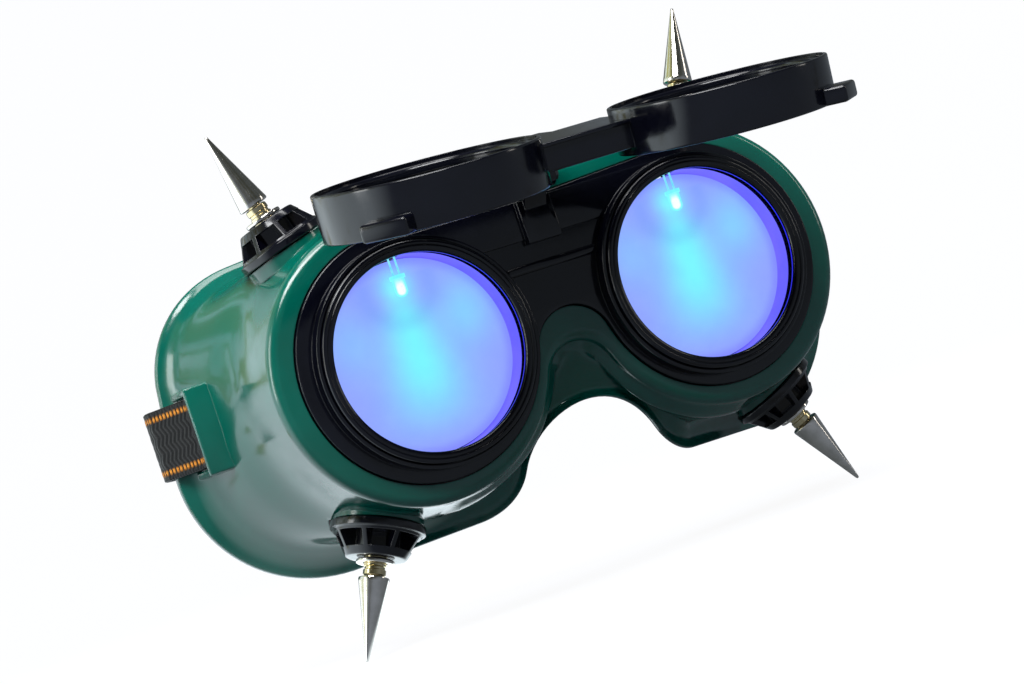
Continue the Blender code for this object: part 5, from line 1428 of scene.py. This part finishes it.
def pale_floor():
    """Pale paper. Behind the wearer's right side it glows with soft streaks, for reflections only."""
    m = Nodes("pale_backdrop")
    m.feed(m.ramp(m.noise(3.0), [(0.3, (0.085, 0.095, 0.12)), (0.7, (0.095, 0.105, 0.13))]),
           "Base Color")
    m.set(Roughness=1.0, Specular_IOR_Level=0.0)
    flat = m.add("ShaderNodeVectorMath", operation="MULTIPLY")
    flat.inputs[1].default_value = (1.0, 1.0, 0.0)
    m.link(m.place(), flat.inputs[0])
    heading = m.add("ShaderNodeVectorMath", operation="NORMALIZE")
    m.link(flat.outputs[0], heading.inputs[0])
    toward = m.add("ShaderNodeVectorMath", operation="DOT_PRODUCT")
    toward.inputs[1].default_value = (-0.9, 0.436, 0.0)
    m.link(heading.outputs[0], toward.inputs[0])
    window = m.grey(toward.outputs["Value"], 0.055, 1.0, 0.5, 0.82)
    stretch = m.add("ShaderNodeMapping")
    stretch.inputs["Scale"].default_value = (1.0, 1.0, 0.4)
    m.link(m.place(), stretch.inputs["Vector"])
    streak = m.add("ShaderNodeTexNoise")
    streak.inputs["Scale"].default_value = 3.2
    streak.inputs["Detail"].default_value = 1.5
    m.link(stretch.outputs[0], streak.inputs["Vector"])
    parts = m.add("ShaderNodeSeparateXYZ")
    m.link(m.place(), parts.inputs[0])
    rise = m.grey(parts.outputs[2], -0.12, 0.42, 0.0, 1.6)
    level = m.add("ShaderNodeMath", operation="ADD")
    m.link(streak.outputs["Fac"], level.inputs[0])
    m.link(rise, level.inputs[1])
    sheet = m.ramp(level.outputs[0], [(0.53, (0.74, 0.84, 0.88)), (0.56, (0.34, 0.32, 0.12)),
                                      (0.64, (0.30, 0.28, 0.10)), (0.67, (0.55, 0.65, 0.66)),
                                      (0.80, (0.42, 0.52, 0.52)), (0.84, (0.22, 0.22, 0.08))])
    path = m.add("ShaderNodeLightPath")
    glossy = m.add("ShaderNodeMath", operation="MULTIPLY")
    m.link(window, glossy.inputs[0])
    m.link(path.outputs["Is Glossy Ray"], glossy.inputs[1])
    seen = m.grey(path.outputs["Is Camera Ray"], 0.01, 0.94, 0.0, 1.0)
    total = m.add("ShaderNodeMath", operation="MULTIPLY_ADD")
    m.link(glossy.outputs[0], total.inputs[0])
    total.inputs[1].default_value = 2.5
    m.link(seen, total.inputs[2])
    tone = m.add("ShaderNodeMix", data_type="RGBA")
    m.link(path.outputs["Is Camera Ray"], tone.inputs[0])
    m.link(sheet, tone.inputs[6])
    tone.inputs[7].default_value = (1.0, 1.0, 1.0, 1.0)
    m.feed(tone.outputs[2], "Emission Color")
    m.feed(total.outputs[0], "Emission Strength")
    return m.material
# ---- Assembly ------------------------------------------------------------------------------------
def use(obj, material, body, slot_name, *nodes):
    """Give a piece its finish, body and place in the model, and drop the CAD node it stands for."""
    obj.data.materials.clear()
    obj.data.materials.append(material)
    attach(obj, body)
    if nodes:
        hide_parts(*nodes)
    return obj


def assemble():
    """Every piece, with its finish, on its body."""
    green = vinyl()
    plastic = black()
    nickel = metal("polished_nickel", ((0.60, 0.57, 0.53), (0.74, 0.70, 0.66)), 0.05, 0.13, 0.00018)
    gold = metal("yellow_passivated", ((0.52, 0.43, 0.24), (0.70, 0.62, 0.42)), 0.10, 0.2, 0.0005)
    steel = plain_metal("dark_steel", ((0.06, 0.06, 0.065), (0.12, 0.12, 0.12)), 0.3, 0.45)
    plated = plain_metal("stamped_nickel", ((0.5, 0.49, 0.47), (0.68, 0.66, 0.63)), 0.18, 0.35)
    shade = shade_glass()
    clear = clear_glass()
    glowing = glow(1.0)
    wall_light = lit("lit_chamber_wall", (0.11, 0.085, 1.0), (0.16, 0.12, 1.0), 1.0)
    lip_light = lit("lit_ring_lip", (0.005, 0.0, 0.75), (0.015, 0.003, 1.0), 0.9)
    lamp_light = lamp()
    lead_light = lit("lit_leads", (0.16, 0.75, 1.0), (0.30, 0.95, 1.0), 0.95, 900.0)

    use(face_shell(), green, "goggle_body", "green_vinyl", "face_shell")
    plate = use(front_plate(), plastic, "goggle_body", "black_plastic", "front_plate")
    plate.data.materials.append(wall_light)
    for x in (-EYE_X, EYE_X):
        for index in lit_wall(plate, x):
            plate.data.polygons[index].material_index = 1
    for name, x, ring_body in (("L", -EYE_X, "eye_ring_left"), ("R", EYE_X, "eye_ring_right")):
        ring = use(eye_ring("eye_ring_skin_" + name, x), plastic, ring_body, "black_plastic",
                   "eye_ring_" + name)
        ring.data.materials.append(lip_light)
        for face in ring.data.polygons:
            away = face.center - at(x, 0.0, 0.0)
            if abs(sqrt(away.x ** 2 + away.z ** 2) - APERTURE_R) < 0.00008:
                face.material_index = 1
        use(disc("clear_lens_skin_" + name, x, LENS_R, CLEAR_LENS_DEPTH, CLEAR_LENS_THICK, 0.0003), clear,
            "goggle_body", "clear_lens", "clear_lens_" + name)
        use(glow_disc("diffuser_skin_" + name, x), glowing, "goggle_body", "diffuser", "diffuser_" + name)
        use(led("lamp_" + name, x), lamp_light, "goggle_body", "led", "led_" + name)
        use(led_leads("lamp_leads_" + name, x), lead_light, "goggle_body", "led")
        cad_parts["led_wire_" + name].data.materials.clear()
        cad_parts["led_wire_" + name].data.materials.append(insulation())
    use(swing_open(flip_frame()), plastic, "flip_up", "black_plastic", "flip_frame")
    for name, x, side in (("L", -EYE_X, "left"), ("R", EYE_X, "right")):
        use(swing_open(disc("shade_lens_skin_" + name, x, LENS_R, SHADE_DEPTH, SHADE_THICK, 0.0003)), shade,
            "flip_up", "shade_glass", "shade_lens_" + name)
        use(swing_open(flip_ring("flip_ring_skin_" + name, x)), plastic, "flip_ring_" + side,
            "black_plastic", "flip_ring_" + name)
    for name, base, out in vent_frames():
        use(vent_cap(name, base, out), plastic, "goggle_body", "black_plastic", "vent_cap_" + name)
        use(spike_screw(name, base, out), gold, "goggle_body", "gold_screw", "spike_screw_" + name)
        use(spike_collar(name, base, out), nickel, "goggle_body", "nickel", "spike_collar_" + name)
        use(spike(name, base, out), nickel, "goggle_body", "nickel", "spike_" + name)
    use(strap(), webbing(), "goggle_body", "webbing", "strap")
    use(strap_slider(), plastic, "slider", "black_plastic", "strap_slider")
    for node, material in (("hinge_pin", steel), ("coin_cell", plated), ("battery_clip", plated),
                           ("battery_holder", plastic), ("switch_body", plastic), ("switch_knob", plastic)):
        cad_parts[node].data.materials.clear()
        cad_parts[node].data.materials.append(material)


# ---- Studio --------------------------------------------------------------------------------------
AZIMUTH, ELEVATION, ROLL = radians(-22.55), radians(-1.65), radians(-18.84)
DISTANCE = 0.5744
TARGET = Vector((-0.01817, -0.052, -0.00394))


def camera():
    """The photograph's view: low, from the wearer's right, rolled with the goggles."""
    data = bpy.data.cameras.new("camera")
    data.lens = 86.13
    data.sensor_width = 36.0
    data.clip_start, data.clip_end = 0.02, 20.0
    obj = bpy.data.objects.new("camera", data)
    bpy.context.collection.objects.link(obj)
    back = Vector((sin(AZIMUTH) * cos(ELEVATION), -cos(AZIMUTH) * cos(ELEVATION), sin(ELEVATION)))
    right = Vector((cos(AZIMUTH), sin(AZIMUTH), 0.0))
    up = back.cross(right)
    across = cos(ROLL) * right + sin(ROLL) * up
    above = -sin(ROLL) * right + cos(ROLL) * up
    place = Matrix((across, above, back)).transposed().to_4x4()
    place.translation = TARGET + back * DISTANCE
    obj.matrix_world = place
    bpy.context.scene.camera = obj


# Soft lights, all aimed at the goggles: name, place, size, power and colour.
SOFTBOXES = (
    ("front", (-0.35, -0.8, 1.1), (0.8, 0.5), 22.0, (0.97, 0.99, 1.0)),
    ("top", (0.05, -0.15, 1.1), (0.9, 0.3), 6.0, (1.0, 1.0, 1.0)),
    ("side", (-1.1, -0.1, 0.35), (0.3, 0.7), 4.0, (1.0, 1.0, 1.0)),
    ("right", (1.0, -0.45, 0.3), (0.12, 0.6), 1.2, (1.0, 0.95, 0.88)),
)


def softbox(name, place, size, power, colour):
    """One rectangular area light."""
    data = bpy.data.lights.new(name, "AREA")
    data.shape = "RECTANGLE"
    data.size, data.size_y = size
    data.energy = power
    data.color = colour
    obj = bpy.data.objects.new(name, data)
    bpy.context.collection.objects.link(obj)
    obj.location = place
    obj.rotation_euler = (-Vector(place)).to_track_quat("-Z", "Y").to_euler()
    obj.visible_camera = False
    return obj


def backdrop():
    """A floor that sweeps up behind into a wall, on all four sides."""
    low = CAD_BOX[0].z - 0.0005
    reach, bend, height = 1.6, 0.8, 2.4
    steps = 12
    profile = [(0.0, 0.0), (reach * 0.4, 0.0), (reach - bend, 0.0)]
    profile += [(reach - bend + bend * sin(pi / 2 * i / steps), bend * (1 - cos(pi / 2 * i / steps)))
                for i in range(1, steps + 1)]
    profile.append((reach, height))
    profile += [(reach + 0.01, height), (reach + 0.01, -0.02), (0.0, -0.02)]
    obj = turned("backdrop", profile, 64, False)
    obj.location = (0.0, 0.0, low)
    smooth(obj, 40)
    obj.data.materials.append(pale_floor())


def studio():
    """View transform, dim sky and the soft lights."""
    scene = bpy.context.scene
    scene.view_settings.view_transform = "Standard"
    world = bpy.data.worlds.new("studio")
    world.use_nodes = True
    world.node_tree.nodes["Background"].inputs["Color"].default_value = (0.7, 0.8, 1.0, 1.0)
    world.node_tree.nodes["Background"].inputs["Strength"].default_value = 0.14
    scene.world = world
    for name, place, size, power, colour in SOFTBOXES:
        softbox(name, place, size, power, colour)


assemble()
camera()
backdrop()
studio()
